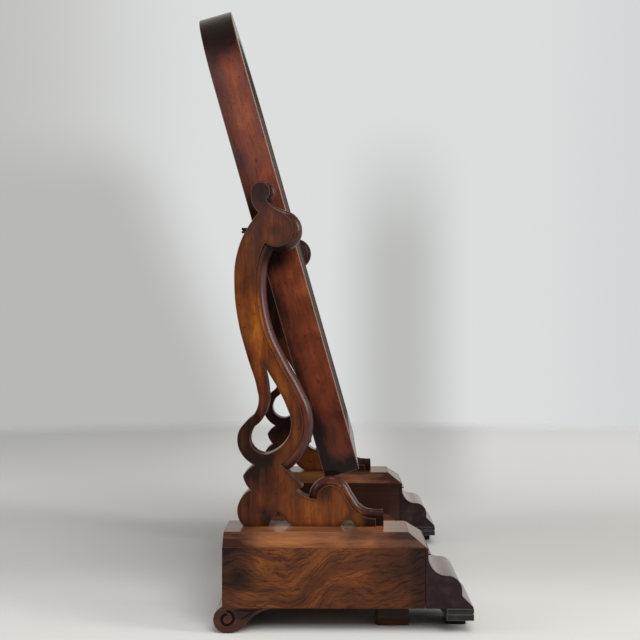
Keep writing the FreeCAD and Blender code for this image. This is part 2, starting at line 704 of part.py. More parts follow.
def plinth(side, sign):
    """Scored strip under a drawer front, the cove bracket behind it and the pad foot below."""
    low = "dims.foot_height - dims.plinth_height"
    box_x = span(sign, INNER_X, OUTER_X)
    strip_size = ("dims.box_width", "dims.plinth_depth", "dims.plinth_height")
    strip = box(f"{side}_plinth_strip", box_x, PLINTH_FACE_Y, low, *strip_size)
    score_z = "dims.foot_height - dims.plinth_line - dims.score_width"
    core = box(
        f"{side}_plinth_core",
        span(sign, f"{INNER_X} + dims.score_width", f"{OUTER_X} - dims.score_width"),
        f"{PLINTH_FACE_Y} + dims.score_width",
        score_z,
        "dims.box_width - 2 * dims.score_width",
        "dims.plinth_depth - dims.score_width",
        "dims.score_width",
    )
    band_size = ("dims.box_width", "dims.plinth_depth", "dims.score_width")
    band = box(f"{side}_plinth_band", box_x, PLINTH_FACE_Y, score_z, *band_size)
    score = cut(f"{side}_plinth_score", band, [core])
    keep(f"{side}_drawer_plinth", cut(f"{side}_plinth_scored", strip, [score]))

    label = f"{side}_plinth_bracket"
    cove = "dims.plinth_height - dims.front_toe"
    bracket = padded(
        label,
        "YZ_Plane",
        [
            ("0", f"-({cove})"),
            ("0", "0"),
            ("dims.bracket_depth", "0"),
            ("dims.bracket_depth - dims.front_toe / 2", "-dims.front_toe"),
            ("dims.front_toe", f"-({cove})", "dims.plinth_height", 1),
        ],
        "dims.box_width - 2 * dims.bracket_inset",
    )
    place(
        bracket,
        span(sign, f"{INNER_X} + dims.bracket_inset", f"{OUTER_X} - dims.bracket_inset"),
        f"{PLINTH_FACE_Y} + dims.plinth_depth",
        "dims.foot_height",
    )
    keep(label, bracket)

    label = f"{side}_pad_foot"
    middle = f"{sign} * {BOX_MIDDLE_X}"
    pad = box(
        label + "_block",
        f"{middle} - dims.pad_width / 2",
        f"{PLINTH_FACE_Y} + dims.pad_setback",
        "dims.pad_clearance",
        "dims.pad_width",
        "dims.pad_depth",
        f"{low} - dims.pad_clearance",
    )
    keep(label, pad)


# Carved uprights
# Outline points are (forward of the pivot axis, above the box top) for an upright as drawn,
# stretched to the sheet's rise and depth.

DRAWN_RISE = 343.0
DRAWN_DEPTH = 169.0

REAR_LOBE = [(-37.5, 0), (-45.3, 18), (-42, 30.5), (-30, 42.4)]
REAR_HOLLOW = [(-30, 42.4), (-35.5, 49.5), (-38.6, 58.5)]
REAR_CUSP = [(-38.6, 58.5), (-33.5, 65), (-25.6, 71)]
ARM_BACK = [
    (-25.6, 71),
    (-36.5, 79),
    (-44.6, 94),
    (-43.5, 110),
    (-35, 121.5),
    (-24.8, 131.3),
    (-20.4, 146),
    (-22.5, 160),
    (-34.1, 198.2),
    (-43.3, 232.8),
    (-48.4, 272),
    (-46.8, 310),
    (-35.2, 342.5),
    (-19.6, 363.3),
]
NECK_BACK = [(-19.6, 363.3), (-26.5, 370.5), (-29.2, 378.5), (-28.2, 388)]
NECK_FRONT = [(-12.1, 379.4), (-6.5, 371.4), (0.8, 366.1), (7.4, 362.4), (14.2, 356.2)]
ARM_FRONT = [
    (-9, 334),
    (-15.6, 322.9),
    (-22, 304),
    (-24, 282),
    (-21.6, 250.2),
    (-14.4, 221.3),
    (1.7, 186.7),
    (20.2, 153.2),
    (29.3, 131.5),
    (30.3, 109),
    (22.5, 90.5),
    (5.2, 71.8),
]
BASE_SLOPE = [(5.2, 71.8), (27.1, 50.6)]
BASE_NOSE = [(27.1, 50.6), (31, 46)]
BASE_QUIRK = [(31, 46), (23.7, 42)]
BASE_CUP = [(23.7, 42), (33.5, 34.5), (46.5, 32)]
TOE_SCROLL = [
    (46.5, 32),
    (50.5, 42.5),
    (61.5, 48),
    (72.5, 44.5),
    (81, 32),
    (91, 18),
    (103, 11),
    (115, 9.4),
    (124, 9.2),
]
TOE_END = [(124, 9.2), (124, 0)]
TOE_SOLE = [(124, 0), (93, 0)]
FRONT_ARCH = [(93, 0), (86.5, 7), (82.8, 12), (78.8, 7), (74.5, 0)]
MIDDLE_SOLE = [(74.5, 0), (20.8, 0)]
REAR_ARCH_FRONT = [(20.8, 0), (9.5, 8.5), (2.3, 17.5)]
REAR_ARCH_BACK = [(2.3, 17.5), (-4.5, 9), (-9.1, 0)]
REAR_SOLE = [(-9.1, 0), (-37.5, 0)]
OPENING_BACK = [
    (-17.3, 194.2),
    (-9.2, 164),
    (-8.6, 141),
    (-16.7, 123.2),
    (-27.5, 111.5),
    (-30.2, 98),
    (-16.7, 84),
    (1.5, 89.3),
    (14.2, 104.5),
    (17.2, 119),
    (10.6, 141.6),
    (0.2, 162.5),
    (-10.2, 180),
    (-17.3, 194.2),
]
# Sections of the rim that grows along the neck: forward, above, heading in degrees,
# and share of the boss rim's radius
NECK_RIM = [
    (-14.5, 374.6, -42, 0.3),
    (-8.7, 368.6, -36, 0.62),
    (-2.6, 362.9, -27, 0.8),
    (4.4, 358.5, -20, 0.93),
    (13.2, 354.3, -33, 0.86),
]
LOBE_CENTRE = (-18.5, 387.0)
LOBE_RIM_SHIFT = 3.0
BALL_RIM_SHIFT = (5.5, -0.6)
DOWEL_PLACES = (-24.0, 48.0)


def stretched(points):
    """Outline points with x forward of the pivot axis and y up from it, at the sheet's sizes."""
    along = num("dims.support_depth") / DRAWN_DEPTH
    up = num("dims.support_rise") / DRAWN_RISE
    return [FreeCAD.Vector(x * along, (y - DRAWN_RISE) * up, 0) for x, y in points]


def support_dowels(side, sign, play):
    """Upright dowels between an upright and its box, or their holes when play is added."""
    length = "dims.dowel_in_top + dims.dowel_in_support"
    return [
        rod(
            f"{side}_support_rod",
            "z",
            f"{sign} * {SUPPORT_MIDDLE_X}",
            f"{PIVOT_Y} - ({forward}) * dims.support_depth / {DRAWN_DEPTH}",
            f"{BOX_TOP} - dims.dowel_in_top",
            f"dims.dowel_radius + {play}",
            length,
        )
        for forward in DOWEL_PLACES
    ]


def plate_of(edges, thickness, holes=()):
    """Flat plate of one outline, centred on the drawing plane."""
    wires = [Part.Wire(Part.__sortEdges__(edges))] + list(holes)
    plate = Part.Face(wires).extrude(FreeCAD.Vector(0, 0, thickness))
    plate.translate(FreeCAD.Vector(0, 0, -thickness / 2))
    return plate


def disc(centre, radius, thickness):
    return Part.makeCylinder(radius, thickness, centre - FreeCAD.Vector(0, 0, thickness / 2))


def neck_rim():
    """Rounded rim that grows from the neck into the rim of the boss."""
    origin = FreeCAD.Vector(0, 0, 0)
    rings = []
    for forward, above, heading, share in NECK_RIM:
        circle = Part.Circle(origin, FreeCAD.Vector(1, 0, 0), share * num("dims.ball_bead"))
        ring = Part.Wire([circle.toShape()])
        ring.rotate(origin, FreeCAD.Vector(0, 0, 1), heading)
        ring.translate(stretched([(forward, above)])[0])
        rings.append(ring)
    return Part.makeLoft(rings, True)


def upright_shape():
    """Carved upright with x forward and y up from the pivot axis, and z through its thickness."""
    thickness = num("dims.support_thickness")
    origin = FreeCAD.Vector(0, 0, 0)
    lobe = stretched([LOBE_CENTRE])[0]
    lobe_radius = num("dims.lobe_radius")
    runs = [REAR_LOBE, REAR_HOLLOW, REAR_CUSP, ARM_BACK, NECK_BACK]
    edges = [edge for run in runs for edge in smooth(stretched(run))]
    neck_front = stretched(NECK_FRONT)
    arm_front = stretched(ARM_FRONT)
    edges += smooth([stretched(NECK_BACK)[-1], lobe]) + smooth([lobe, neck_front[0]]) + smooth(neck_front)
    edges += smooth([neck_front[-1], origin]) + smooth([origin, arm_front[0]]) + smooth(arm_front)
    runs = [BASE_SLOPE, BASE_NOSE, BASE_QUIRK, BASE_CUP, TOE_SCROLL, TOE_END, TOE_SOLE, FRONT_ARCH]
    runs += [MIDDLE_SOLE, REAR_ARCH_FRONT, REAR_ARCH_BACK, REAR_SOLE]
    edges += [edge for run in runs for edge in smooth(stretched(run))]

    opening = Part.Wire(smooth(stretched(OPENING_BACK)))
    window = Part.Face(opening).extrude(FreeCAD.Vector(0, 0, 2 * thickness))
    window.translate(FreeCAD.Vector(0, 0, -thickness))
    plate = plate_of(edges, thickness).cut(window)

    toe = stretched(TOE_SCROLL)
    toe_bead = num("dims.toe_bead")
    toe_length = num("dims.toe_length")
    toe_half = toe_bead - num("dims.toe_inset")
    toe_start = FreeCAD.Vector(toe[-1].x - toe_length, stretched(TOE_SOLE)[0].y, toe_half)
    for side_z in (toe_half, -toe_half - thickness):
        toe_start.z = side_z
        plate = plate.cut(Part.makeBox(2 * toe_length, toe[-1].y - toe_start.y + toe_bead, thickness, toe_start))
    rim_centre = FreeCAD.Vector(*BALL_RIM_SHIFT, 0)
    rim = Part.makeTorus(num("dims.ball_ring"), num("dims.ball_bead"), rim_centre)
    lobe_bead = num("dims.lobe_bead")
    lobe_ring = lobe_radius + LOBE_RIM_SHIFT - lobe_bead - num("dims.rim_inset")
    lobe_rim = Part.makeTorus(lobe_ring, lobe_bead, lobe + FreeCAD.Vector(LOBE_RIM_SHIFT, 0, 0))
    pieces = [
        disc(origin, num("dims.ball_radius"), thickness),
        disc(lobe, lobe_radius, thickness),
        tube(smooth(arm_front), num("dims.arm_bead")),
        tube(smooth(toe), toe_bead, num("dims.toe_lead")),
        rim,
        neck_rim(),
        lobe_rim,
    ]
    return plate.multiFuse(pieces).removeSplitter()


def support(side, sign):
    """Upright bored for its bush, clamp screw and dowels, and the bush and dowels themselves."""
    thickness = num("dims.support_thickness")
    inner = sign * thickness / 2
    into = FreeCAD.Vector(0, 0, -sign)
    play = num("dims.screw_play")
    clamp_play = num("dims.clamp_play")
    seat = num(CLAMP_SEAT)
    backward = FreeCAD.Vector(-1, 0, 0)
    bores = [
        Part.makeCylinder(
            num("dims.bush_radius") + play, num("dims.bush_length") + play, FreeCAD.Vector(0, 0, inner), into
        ),
        Part.makeCylinder(num("dims.clamp_radius") + clamp_play, 2 * seat, FreeCAD.Vector(0, 0, 0), backward),
        Part.makeCylinder(
            num("dims.clamp_head") + 4 * clamp_play, seat, FreeCAD.Vector(clamp_play - seat, 0, 0), backward
        ),
    ]
    for forward in DOWEL_PLACES:
        foot = stretched([(forward, 0)])[0]
        bores.append(
            Part.makeCylinder(
                num("dims.dowel_radius") + play,
                num("dims.dowel_in_support"),
                foot,
                FreeCAD.Vector(0, 1, 0),
            )
        )
    shape = upright_shape().cut(bores)
    upright = feature(f"{side}_upright", shape)
    # Drawing x goes to -Y, y to Z and z to -X
    upright.Placement = FreeCAD.Placement(
        FreeCAD.Vector(sign * num(SUPPORT_MIDDLE_X), num(PIVOT_Y), num(PIVOT_Z)),
        FreeCAD.Rotation(FreeCAD.Vector(0, -1, 0), FreeCAD.Vector(0, 0, 1), FreeCAD.Vector(-1, 0, 0), "XYZ"),
    )
    keep(f"{side}_support", upright)

    label = f"{side}_support_dowels"
    keep(label, group(label, support_dowels(side, sign, "0")))


# Pivots, as turned pieces with x outward from the upright's inner face

CLAMP_SEAT = f"(dims.clamp_seat * dims.support_depth / {DRAWN_DEPTH})"


def pivot(side, sign):
    """Bush in the upright, pin and plate on the mirror, and the clamp screw."""
    bore = "dims.pin_radius + dims.pin_play"
    out = f"{sign} * "
    label = f"{side}_pivot_bush"
    bush = turned(
        label + "_body",
        "H_Axis",
        [
            (f"-{out}dims.flange_thickness", bore),
            (f"{out}dims.bush_length", bore),
            (f"{out}dims.bush_length", "dims.bush_radius"),
            ("0", "dims.bush_radius"),
            ("0", "dims.flange_radius"),
            (f"-{out}dims.flange_thickness", "dims.flange_radius"),
        ],
    )
    place(bush, f"{out}{SUPPORT_INNER_X}", PIVOT_Y, PIVOT_Z)
    hole = rod(
        label + "_hole",
        "y",
        f"{out}{SUPPORT_MIDDLE_X}",
        PIVOT_Y,
        PIVOT_Z,
        "dims.clamp_radius + dims.clamp_play",
        "2 * dims.bush_radius",
    )
    keep(label, cut(label + "_bored", bush, [hole]))

    label = f"{side}_pivot_pin"
    plate_face = "dims.pivot_plate_thickness"
    shoulder = "dims.swing_gap - dims.flange_thickness - dims.side_play"
    pin = turned(
        label + "_body",
        "H_Axis",
        [
            (f"-{out}dims.pin_seat", "0"),
            (f"{out}(dims.swing_gap + dims.pin_journal)", "0"),
            (f"{out}(dims.swing_gap + dims.pin_journal)", "dims.pin_radius"),
            (f"{out}({shoulder})", "dims.pin_radius"),
            (f"{out}({shoulder})", "dims.shoulder_radius"),
            (f"{out}{plate_face}", "dims.shoulder_radius"),
            (f"{out}{plate_face}", "dims.pin_radius"),
            (f"-{out}dims.pin_seat", "dims.pin_radius"),
        ],
    )
    keep(label, lean(pin, f"{out}{FRAME_HALF}"))

    label = f"{side}_pivot_plate"
    sheet = box(
        label + "_sheet",
        span(sign, FRAME_HALF, f"{FRAME_HALF} + dims.pivot_plate_thickness"),
        "-dims.pivot_plate_width / 2",
        "-dims.pivot_plate_length / 2",
        "dims.pivot_plate_thickness",
        "dims.pivot_plate_width",
        "dims.pivot_plate_length",
    )
    keep(label, lean(cut(label + "_bored", sheet, pivot_holes(side, sign))))

    label = f"{side}_clamp_screw"
    head = f"({CLAMP_SEAT} + dims.clamp_head_length)"
    tip = "(dims.pin_radius + dims.side_play)"
    screw = turned(
        label + "_body",
        "V_Axis",
        [
            ("0", tip),
            ("dims.clamp_radius", tip),
            ("dims.clamp_radius", CLAMP_SEAT),
            ("dims.clamp_head", CLAMP_SEAT),
            ("dims.clamp_head", head),
            ("0", head),
        ],
    )
    place(screw, f"{out}{SUPPORT_MIDDLE_X}", PIVOT_Y, PIVOT_Z)
    slot = box(
        label + "_slot",
        f"{out}{SUPPORT_MIDDLE_X} - dims.clamp_head",
        f"{PIVOT_Y} + {head} - dims.clamp_slot",
        f"{PIVOT_Z} - dims.clamp_slot / 2",
        "2 * dims.clamp_head",
        "dims.clamp_slot",
        "dims.clamp_slot",
    )
    keep(label, cut(label + "_slotted", screw, [slot]))


def pivot_holes(side, sign):
    """Holes for a pivot pin and its plate's two screws, through plate and stile."""
    start = span(sign, f"{FRAME_HALF} - dims.pin_seat", f"{FRAME_HALF} + dims.pivot_plate_thickness")
    length = "dims.pin_seat + dims.pivot_plate_thickness"
    holes = [rod(f"{side}_pin_hole", "x", start, "0", "0", "dims.pin_radius + dims.screw_play", length)]
    for shift in ("-dims.pivot_screw_pitch / 2", "dims.pivot_screw_pitch / 2"):
        holes.append(
            rod(f"{side}_plate_hole", "x", start, "0", shift, "dims.screw_radius + dims.screw_play", length)
        )
    return holes


# Mirror, drawn upright about the pivot axis


def stile(side, sign):
    """Upright member of the frame, rebated at its inner back edge."""
    out = f"{sign} * "
    label = f"{side}_stile"
    bar = padded(
        label + "_bar",
        "XY_Plane",
        [
            (f"{out}{SIGHT_HALF}", FRAME_FRONT),
            (f"{out}{FRAME_HALF}", FRAME_FRONT),
            (f"{out}{FRAME_HALF}", FRAME_BACK),
            (f"{out}{REBATE_HALF}", FRAME_BACK),
            (f"{out}{REBATE_HALF}", PLATE_FRONT),
            (f"{out}{SIGHT_HALF}", PLATE_FRONT),
        ],
        f"dims.frame_below + {SPRINGING}",
    )
    place(bar, "0", "0", "-dims.frame_below")
    keep(f"mirror_{label}", lean(cut(label + "_bored", bar, pivot_holes(side, sign))))


def bottom_rail():
    """Lower member between the stiles; its back part fills the stiles' rebates."""
    front = box(
        "rail_front",
        f"-{SIGHT_HALF}",
        FRAME_FRONT,
        "-dims.frame_below",
        f"2 * {SIGHT_HALF}",
        "dims.frame_lip",
        "dims.frame_face",
    )
    back = box(
        "rail_back",
        f"-{REBATE_HALF}",
        PLATE_FRONT,
        "-dims.frame_below",
        f"2 * {REBATE_HALF}",
        "dims.frame_thickness - dims.frame_lip",
        "dims.frame_face - dims.rebate_width",
    )
    keep("mirror_bottom_rail", lean(fuse("rail_whole", front, back)))


UPRIGHT = FreeCAD.Rotation(FreeCAD.Vector(1, 0, 0), 90)
BACKWARD = FreeCAD.Vector(0, 1, 0)


def arch(name, half, shrink, front, depth):
    """Elliptical solid on the springing line of the frame's arch."""
    return oval(name, UPRIGHT, "0", front, SPRINGING, half, f"dims.arch_rise - ({shrink})", BACKWARD, depth)


def arched_head():
    """Arched top of the frame, rebated like the stiles."""
    whole = arch("head_outer", FRAME_HALF, "0", FRAME_FRONT, "dims.frame_thickness")
    sight = arch("head_sight", SIGHT_HALF, "dims.frame_face", FRAME_FRONT, "dims.frame_thickness")
    rebate = arch(
        "head_rebate",
        REBATE_HALF,
        "dims.frame_face - dims.rebate_width",
        PLATE_FRONT,
        "dims.frame_thickness - dims.frame_lip",
    )
    ring = cut("head_ring", cut("head_opened", whole, [sight]), [rebate])
    upper = box(
        "head_upper",
        f"-{FRAME_HALF}",
        FRAME_FRONT,
        SPRINGING,
        f"2 * {FRAME_HALF}",
        "dims.frame_thickness",
        "dims.arch_rise",
    )
    head = doc.addObject("Part::Common", "head_half")
    head.Base = ring
    head.Tool = upper
    keep("mirror_arched_head", lean(head))


def arched_panel(name, front, thickness):
    """Panel that fills the rebate with clearance all round."""
    half = f"({REBATE_HALF} - dims.plate_play)"
    low = f"({REBATE_BOTTOM} + dims.plate_play)"
    shrink = "dims.frame_face - dims.rebate_width + dims.plate_play"
    crown = arch(name + "_crown", half, shrink, front, thickness)
    field = box(name + "_field", f"-{half}", front, low, f"2 * {half}", thickness, f"{SPRINGING} - {low}")
    return fuse(name + "_arched", field, crown)


def glazing_places():
    """Middle of each glazing block as (x, z) expressions, and whether it stands upright."""
    side_x = f"({REBATE_HALF} - dims.plate_play - dims.glazing_width / 2)"
    low_z = f"({REBATE_BOTTOM} + dims.plate_play + dims.glazing_width / 2)"
    span_z = f"({SPRINGING} - {low_z})"
    for sign in (-1, 1):
        for share in (0.22, 0.55, 0.88):
            yield f"{sign} * {side_x}", f"({low_z} + {share} * {span_z})", True
    for share in (-0.5, 0.5):
        yield f"{share} * {side_x}", low_z, False


def glazing():
    """Plate, the blocks that press on it, backboard and its screws."""
    keep("mirror_plate", lean(arched_panel("plate", PLATE_FRONT, "dims.plate_thickness")))
    blocks = []
    screws = []
    holes = []
    bored = "dims.glazing_depth + dims.backboard_thickness"
    for x, z, upright in glazing_places():
        length = "dims.glazing_width" if upright else "dims.glazing_length"
        height = "dims.glazing_length" if upright else "dims.glazing_width"
        size = (length, "dims.glazing_depth", height)
        block = box("glazing_block", f"{x} - {length} / 2", PLATE_BACK, f"{z} - {height} / 2", *size)
        radius = "dims.screw_radius + dims.screw_play"
        start = f"{BOARD_BACK} - dims.screw_length"
        hole = rod("glazing_hole", "y", x, start, z, radius, bored)
        blocks.append(cut("glazing_block_bored", block, [hole]))
        holes.append(rod("board_hole", "y", x, start, z, radius, bored))
        shank = rod("board_screw_shank", "y", x, start, z, "dims.screw_radius", "dims.screw_length")
        head = rod("board_screw_head", "y", x, BOARD_BACK, z, "dims.screw_head", "dims.screw_head_height")
        screws.append(fuse("board_screw", shank, head))
    keep("mirror_glazing_blocks", lean(group("glazing_blocks", blocks)))
    board = arched_panel("backboard", BOARD_FRONT, "dims.backboard_thickness")
    keep("mirror_backboard", lean(cut("backboard_bored", board, holes)))
    keep("mirror_backboard_screws", lean(group("backboard_screws", screws)))


def pivot_plate_screws():
    """Two screws through each pivot plate into its stile."""
    screws = []
    for side, sign in SIDES:
        for shift in ("-dims.pivot_screw_pitch / 2", "dims.pivot_screw_pitch / 2"):
            face = f"{FRAME_HALF} + dims.pivot_plate_thickness"
            under = span(sign, f"{face} - dims.screw_length", face)
            over = span(sign, face, f"{face} + dims.screw_head_height")
            shank = rod("plate_screw_shank", "x", under, "0", shift, "dims.screw_radius", "dims.screw_length")
            head = rod("plate_screw_head", "x", over, "0", shift, "dims.screw_head", "dims.screw_head_height")
            screws.append(fuse("plate_screw", shank, head))
    keep("pivot_plate_screws", lean(group("plate_screws", screws)))


def check_and_write():
    """Stop on any failed object or bad shape, then write one file for each piece."""
    doc.recompute()
    failed = [item.Label for item in doc.Objects if "Invalid" in item.State or "Error" in item.State]
    if failed:
        raise RuntimeError("failed objects: " + ", ".join(failed))
    bad = [label for label, piece in nodes.items() if piece.Shape.isNull() or not piece.Shape.isValid()]
    if bad:
        raise RuntimeError("bad shapes: " + ", ".join(bad))
    os.makedirs("parts", exist_ok=True)
    for label, piece in nodes.items():
        piece.Shape.exportStep(f"parts/{label}.step")


for side, sign in SIDES:
    box_carcass(side, sign)
    drawer(side, sign)
    support(side, sign)
    pivot(side, sign)
    stile(side, sign)
platform()
bottom_rail()
arched_head()
glazing()
pivot_plate_screws()
check_and_write()
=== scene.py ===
import json
import math

import bmesh
import bpy
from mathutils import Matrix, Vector

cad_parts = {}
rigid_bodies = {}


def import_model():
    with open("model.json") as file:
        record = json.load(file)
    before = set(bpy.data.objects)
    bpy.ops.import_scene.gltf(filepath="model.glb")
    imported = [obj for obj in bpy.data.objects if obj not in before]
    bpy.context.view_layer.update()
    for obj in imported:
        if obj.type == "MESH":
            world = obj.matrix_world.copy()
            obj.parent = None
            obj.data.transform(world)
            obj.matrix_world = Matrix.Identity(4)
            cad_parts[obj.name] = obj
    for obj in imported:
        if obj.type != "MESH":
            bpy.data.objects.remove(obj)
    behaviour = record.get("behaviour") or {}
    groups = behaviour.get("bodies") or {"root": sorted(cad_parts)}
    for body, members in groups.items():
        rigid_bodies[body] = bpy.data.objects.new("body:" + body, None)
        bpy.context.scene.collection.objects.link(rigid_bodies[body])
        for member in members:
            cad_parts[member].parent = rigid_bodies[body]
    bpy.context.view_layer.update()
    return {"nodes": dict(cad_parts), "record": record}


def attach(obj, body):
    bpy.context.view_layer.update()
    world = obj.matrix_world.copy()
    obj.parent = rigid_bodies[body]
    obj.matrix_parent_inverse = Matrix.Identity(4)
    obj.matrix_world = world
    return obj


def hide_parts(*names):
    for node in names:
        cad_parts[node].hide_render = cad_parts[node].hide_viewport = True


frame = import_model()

SIDES = ("left_", "right_")
NODES = frame["nodes"]
BODY_OF = {}
for body_name, members in frame["record"]["behaviour"]["bodies"].items():
    for member in members:
        BODY_OF[member] = body_name
for thing in list(bpy.data.objects):
    if thing.type != "EMPTY" and thing.name not in NODES:
        bpy.data.objects.remove(thing)

# The mirror leans back by this angle at rest, and its grain leans with it
LEAN = math.radians(15.85)
LEAN_UP = Vector((0.0, math.sin(LEAN), math.cos(LEAN)))
LEAN_BACK = Vector((0.0, math.cos(LEAN), -math.sin(LEAN)))
LEAN_TURN = (-LEAN, 0.0, 0.0)
MIRROR_MIDDLE = (0.0, 0.061, 0.4516)
ALONG_X = (1.0, 0.0, 0.0)
ALONG_Y = (0.0, 1.0, 0.0)


def tint(red, green, blue):
    """A colour given as 0 to 255 on a screen, as the linear numbers that a shader takes."""
    parts = []
    for level in (red, green, blue):
        part = level / 255.0
        parts.append(part / 12.92 if part <= 0.04045 else ((part + 0.055) / 1.055) ** 2.4)
    return (*parts, 1.0)


def tints(*colours):
    """The shades of a wood, from dark to pale."""
    return tuple(tint(*colour) for colour in colours)


# Small helpers that write shader nodes

def put(tree, kind, inputs=None, **settings):
    """Adds one shader node. An input may be a plain value or another node's output."""
    made = tree.nodes.new(kind)
    for key, value in settings.items():
        setattr(made, key, value)
    for key, value in (inputs or {}).items():
        if isinstance(value, bpy.types.NodeSocket):
            tree.links.new(value, made.inputs[key])
        else:
            made.inputs[key].default_value = value
    return made


def blank(name):
    """A material with no nodes yet, and its node tree."""
    made = bpy.data.materials.new(name)
    made.use_nodes = True
    made.node_tree.nodes.clear()
    return made, made.node_tree


def math_node(tree, operation, first, second=0.0, third=0.0, clamp=False):
    made = put(tree, "ShaderNodeMath", {0: first, 1: second, 2: third}, operation=operation)
    made.use_clamp = clamp
    return made.outputs[0]


def product(tree, first, second):
    return math_node(tree, "MULTIPLY", first, second)


def measured(tree, operation, first, second=(0.0, 0.0, 0.0)):
    """The number that a vector operation gives."""
    return put(tree, "ShaderNodeVectorMath", {0: first, 1: second},
               operation=operation).outputs["Value"]


def object_place(tree):
    """Where a point of the surface lies, in metres in the object's frame."""
    return put(tree, "ShaderNodeTexCoord").outputs["Object"]


def split(tree, vector):
    """The X, Y and Z of a vector."""
    return put(tree, "ShaderNodeSeparateXYZ", {0: vector}).outputs


def spread(tree, value, low, high, to_low=0.0, to_high=1.0):
    """Stretches value from low..high to to_low..to_high, with soft ends and nothing outside."""
    return put(tree, "ShaderNodeMapRange",
               {"Value": value, "From Min": low, "From Max": high,
                "To Min": to_low, "To Max": to_high},
               interpolation_type="SMOOTHSTEP").outputs[0]


def noise(tree, vector, scale, detail=2.0, roughness=0.5, distortion=0.0):
    return put(tree, "ShaderNodeTexNoise",
               {"Vector": vector, "Scale": scale, "Detail": detail, "Roughness": roughness,
                "Distortion": distortion}).outputs[0]


def occlusion(tree, distance, **settings):
    """1 on an open face, falling where the piece itself lies within distance."""
    return put(tree, "ShaderNodeAmbientOcclusion", {"Distance": distance}, samples=8,
               only_local=True, **settings).outputs["AO"]


def ramp(tree, value, shades):
    """The shades in even steps as value goes from 0 to 1."""
    made = put(tree, "ShaderNodeValToRGB", {"Fac": value})
    elements = made.color_ramp.elements
    elements[0].position, elements[0].color = 0.0, shades[0]
    elements[1].position, elements[1].color = 1.0, shades[-1]
    for step, shade in enumerate(shades[1:-1], start=1):
        elements.new(step / (len(shades) - 1)).color = shade
    return made.outputs[0]


def blend(tree, factor, first, second, kind="MIX"):
    """The first colour at a factor of 0 and the second at 1."""
    made = put(tree, "ShaderNodeMix", data_type="RGBA", blend_type=kind)
    sockets = (made.inputs[0], made.inputs[6], made.inputs[7])
    for socket, value in zip(sockets, (factor, first, second)):
        if isinstance(value, bpy.types.NodeSocket):
            tree.links.new(value, socket)
        else:
            socket.default_value = value
    return made.outputs[2]


def grain_space(tree, along, stretch, turn):
    """Object coordinates in metres, drawn out along the grain."""
    long = [1.0, 1.0, 1.0]
    long["XYZ".index(along)] = stretch
    return put(tree, "ShaderNodeMapping",
               {"Vector": object_place(tree), "Rotation": turn, "Scale": tuple(long)},
               vector_type="TEXTURE").outputs[0]


def near(tree, centre, inner, outer):
    """1 within inner metres of a place seen from the side, fading to 0 at outer."""
    flat = put(tree, "ShaderNodeVectorMath", {0: object_place(tree), 1: (0.0, 1.0, 1.0)},
               operation="MULTIPLY").outputs[0]
    apart = measured(tree, "DISTANCE", flat, (0.0, *centre))
    return spread(tree, apart, inner, outer, 1.0, 0.0)


# Polished woods. Lengths are in metres, and a noise's scale is in lumps to the metre.

# Dark polish and painted shade, put in the corners and on the frame's inner arrises
GRIME_AND_SHADE = tint(17, 11, 9)
STREAK_SCALE = 75.0
STREAK_STRETCH = 22.0
PORE_SCALE = 620.0
PORE_STRETCH = 15.0
PORE_DARKNESS = 0.4
PORE_DEPTH = -0.6
SPECK_SCALE = 190.0
BUMP_STRENGTH = 0.12
BUMP_DEPTH = 0.0003
UNDERCOAT_SHINE = 0.08
COAT_IOR = 1.3
ARRIS_COAT = 0.3
EDGE_IOR = 1.42
EDGE_GLOSS = 0.29
EDGE_COAT = 1.0
DEEP_COAT = 0.1
INNER_COAT = 0.2
BURNT_REACH = 0.008
GRIME_AND_SHADE_REACH = 0.009
GRIME_AND_SHADE_SHARE = 0.85
# How fast the painted sheen comes in above its low height and fades below its high one
SHEEN_RISE = 0.12
SHEEN_FALL = 0.05
# The veneer's lines sweep up between these two places along Y
SWEEP_START = 0.04
SWEEP_END = -0.02
SWEEP_RISE = 0.036
RIGHT_SLOPE = 0.35
LEFT_SLOPE = 0.2
SLOW_WAVER = 0.007
QUICK_WAVER = 0.0014
FLAME_SQUEEZE = 0.12


def polish(tree, colour, roughness, height, coat, gloss, bend):
    """French polished wood: the colour under a thin clear coat."""
    rough_normal = put(tree, "ShaderNodeBump",
                       {"Strength": BUMP_STRENGTH, "Distance": BUMP_DEPTH,
                        "Height": height}).outputs[0]
    shader = put(tree, "ShaderNodeBsdfPrincipled",
                 {"Base Color": colour, "Roughness": roughness, "Normal": rough_normal,
                  "Coat Weight": coat, "Coat Roughness": gloss, "Coat IOR": bend,
                  "Specular IOR Level": UNDERCOAT_SHINE})
    put(tree, "ShaderNodeOutputMaterial", {"Surface": shader.outputs[0]})


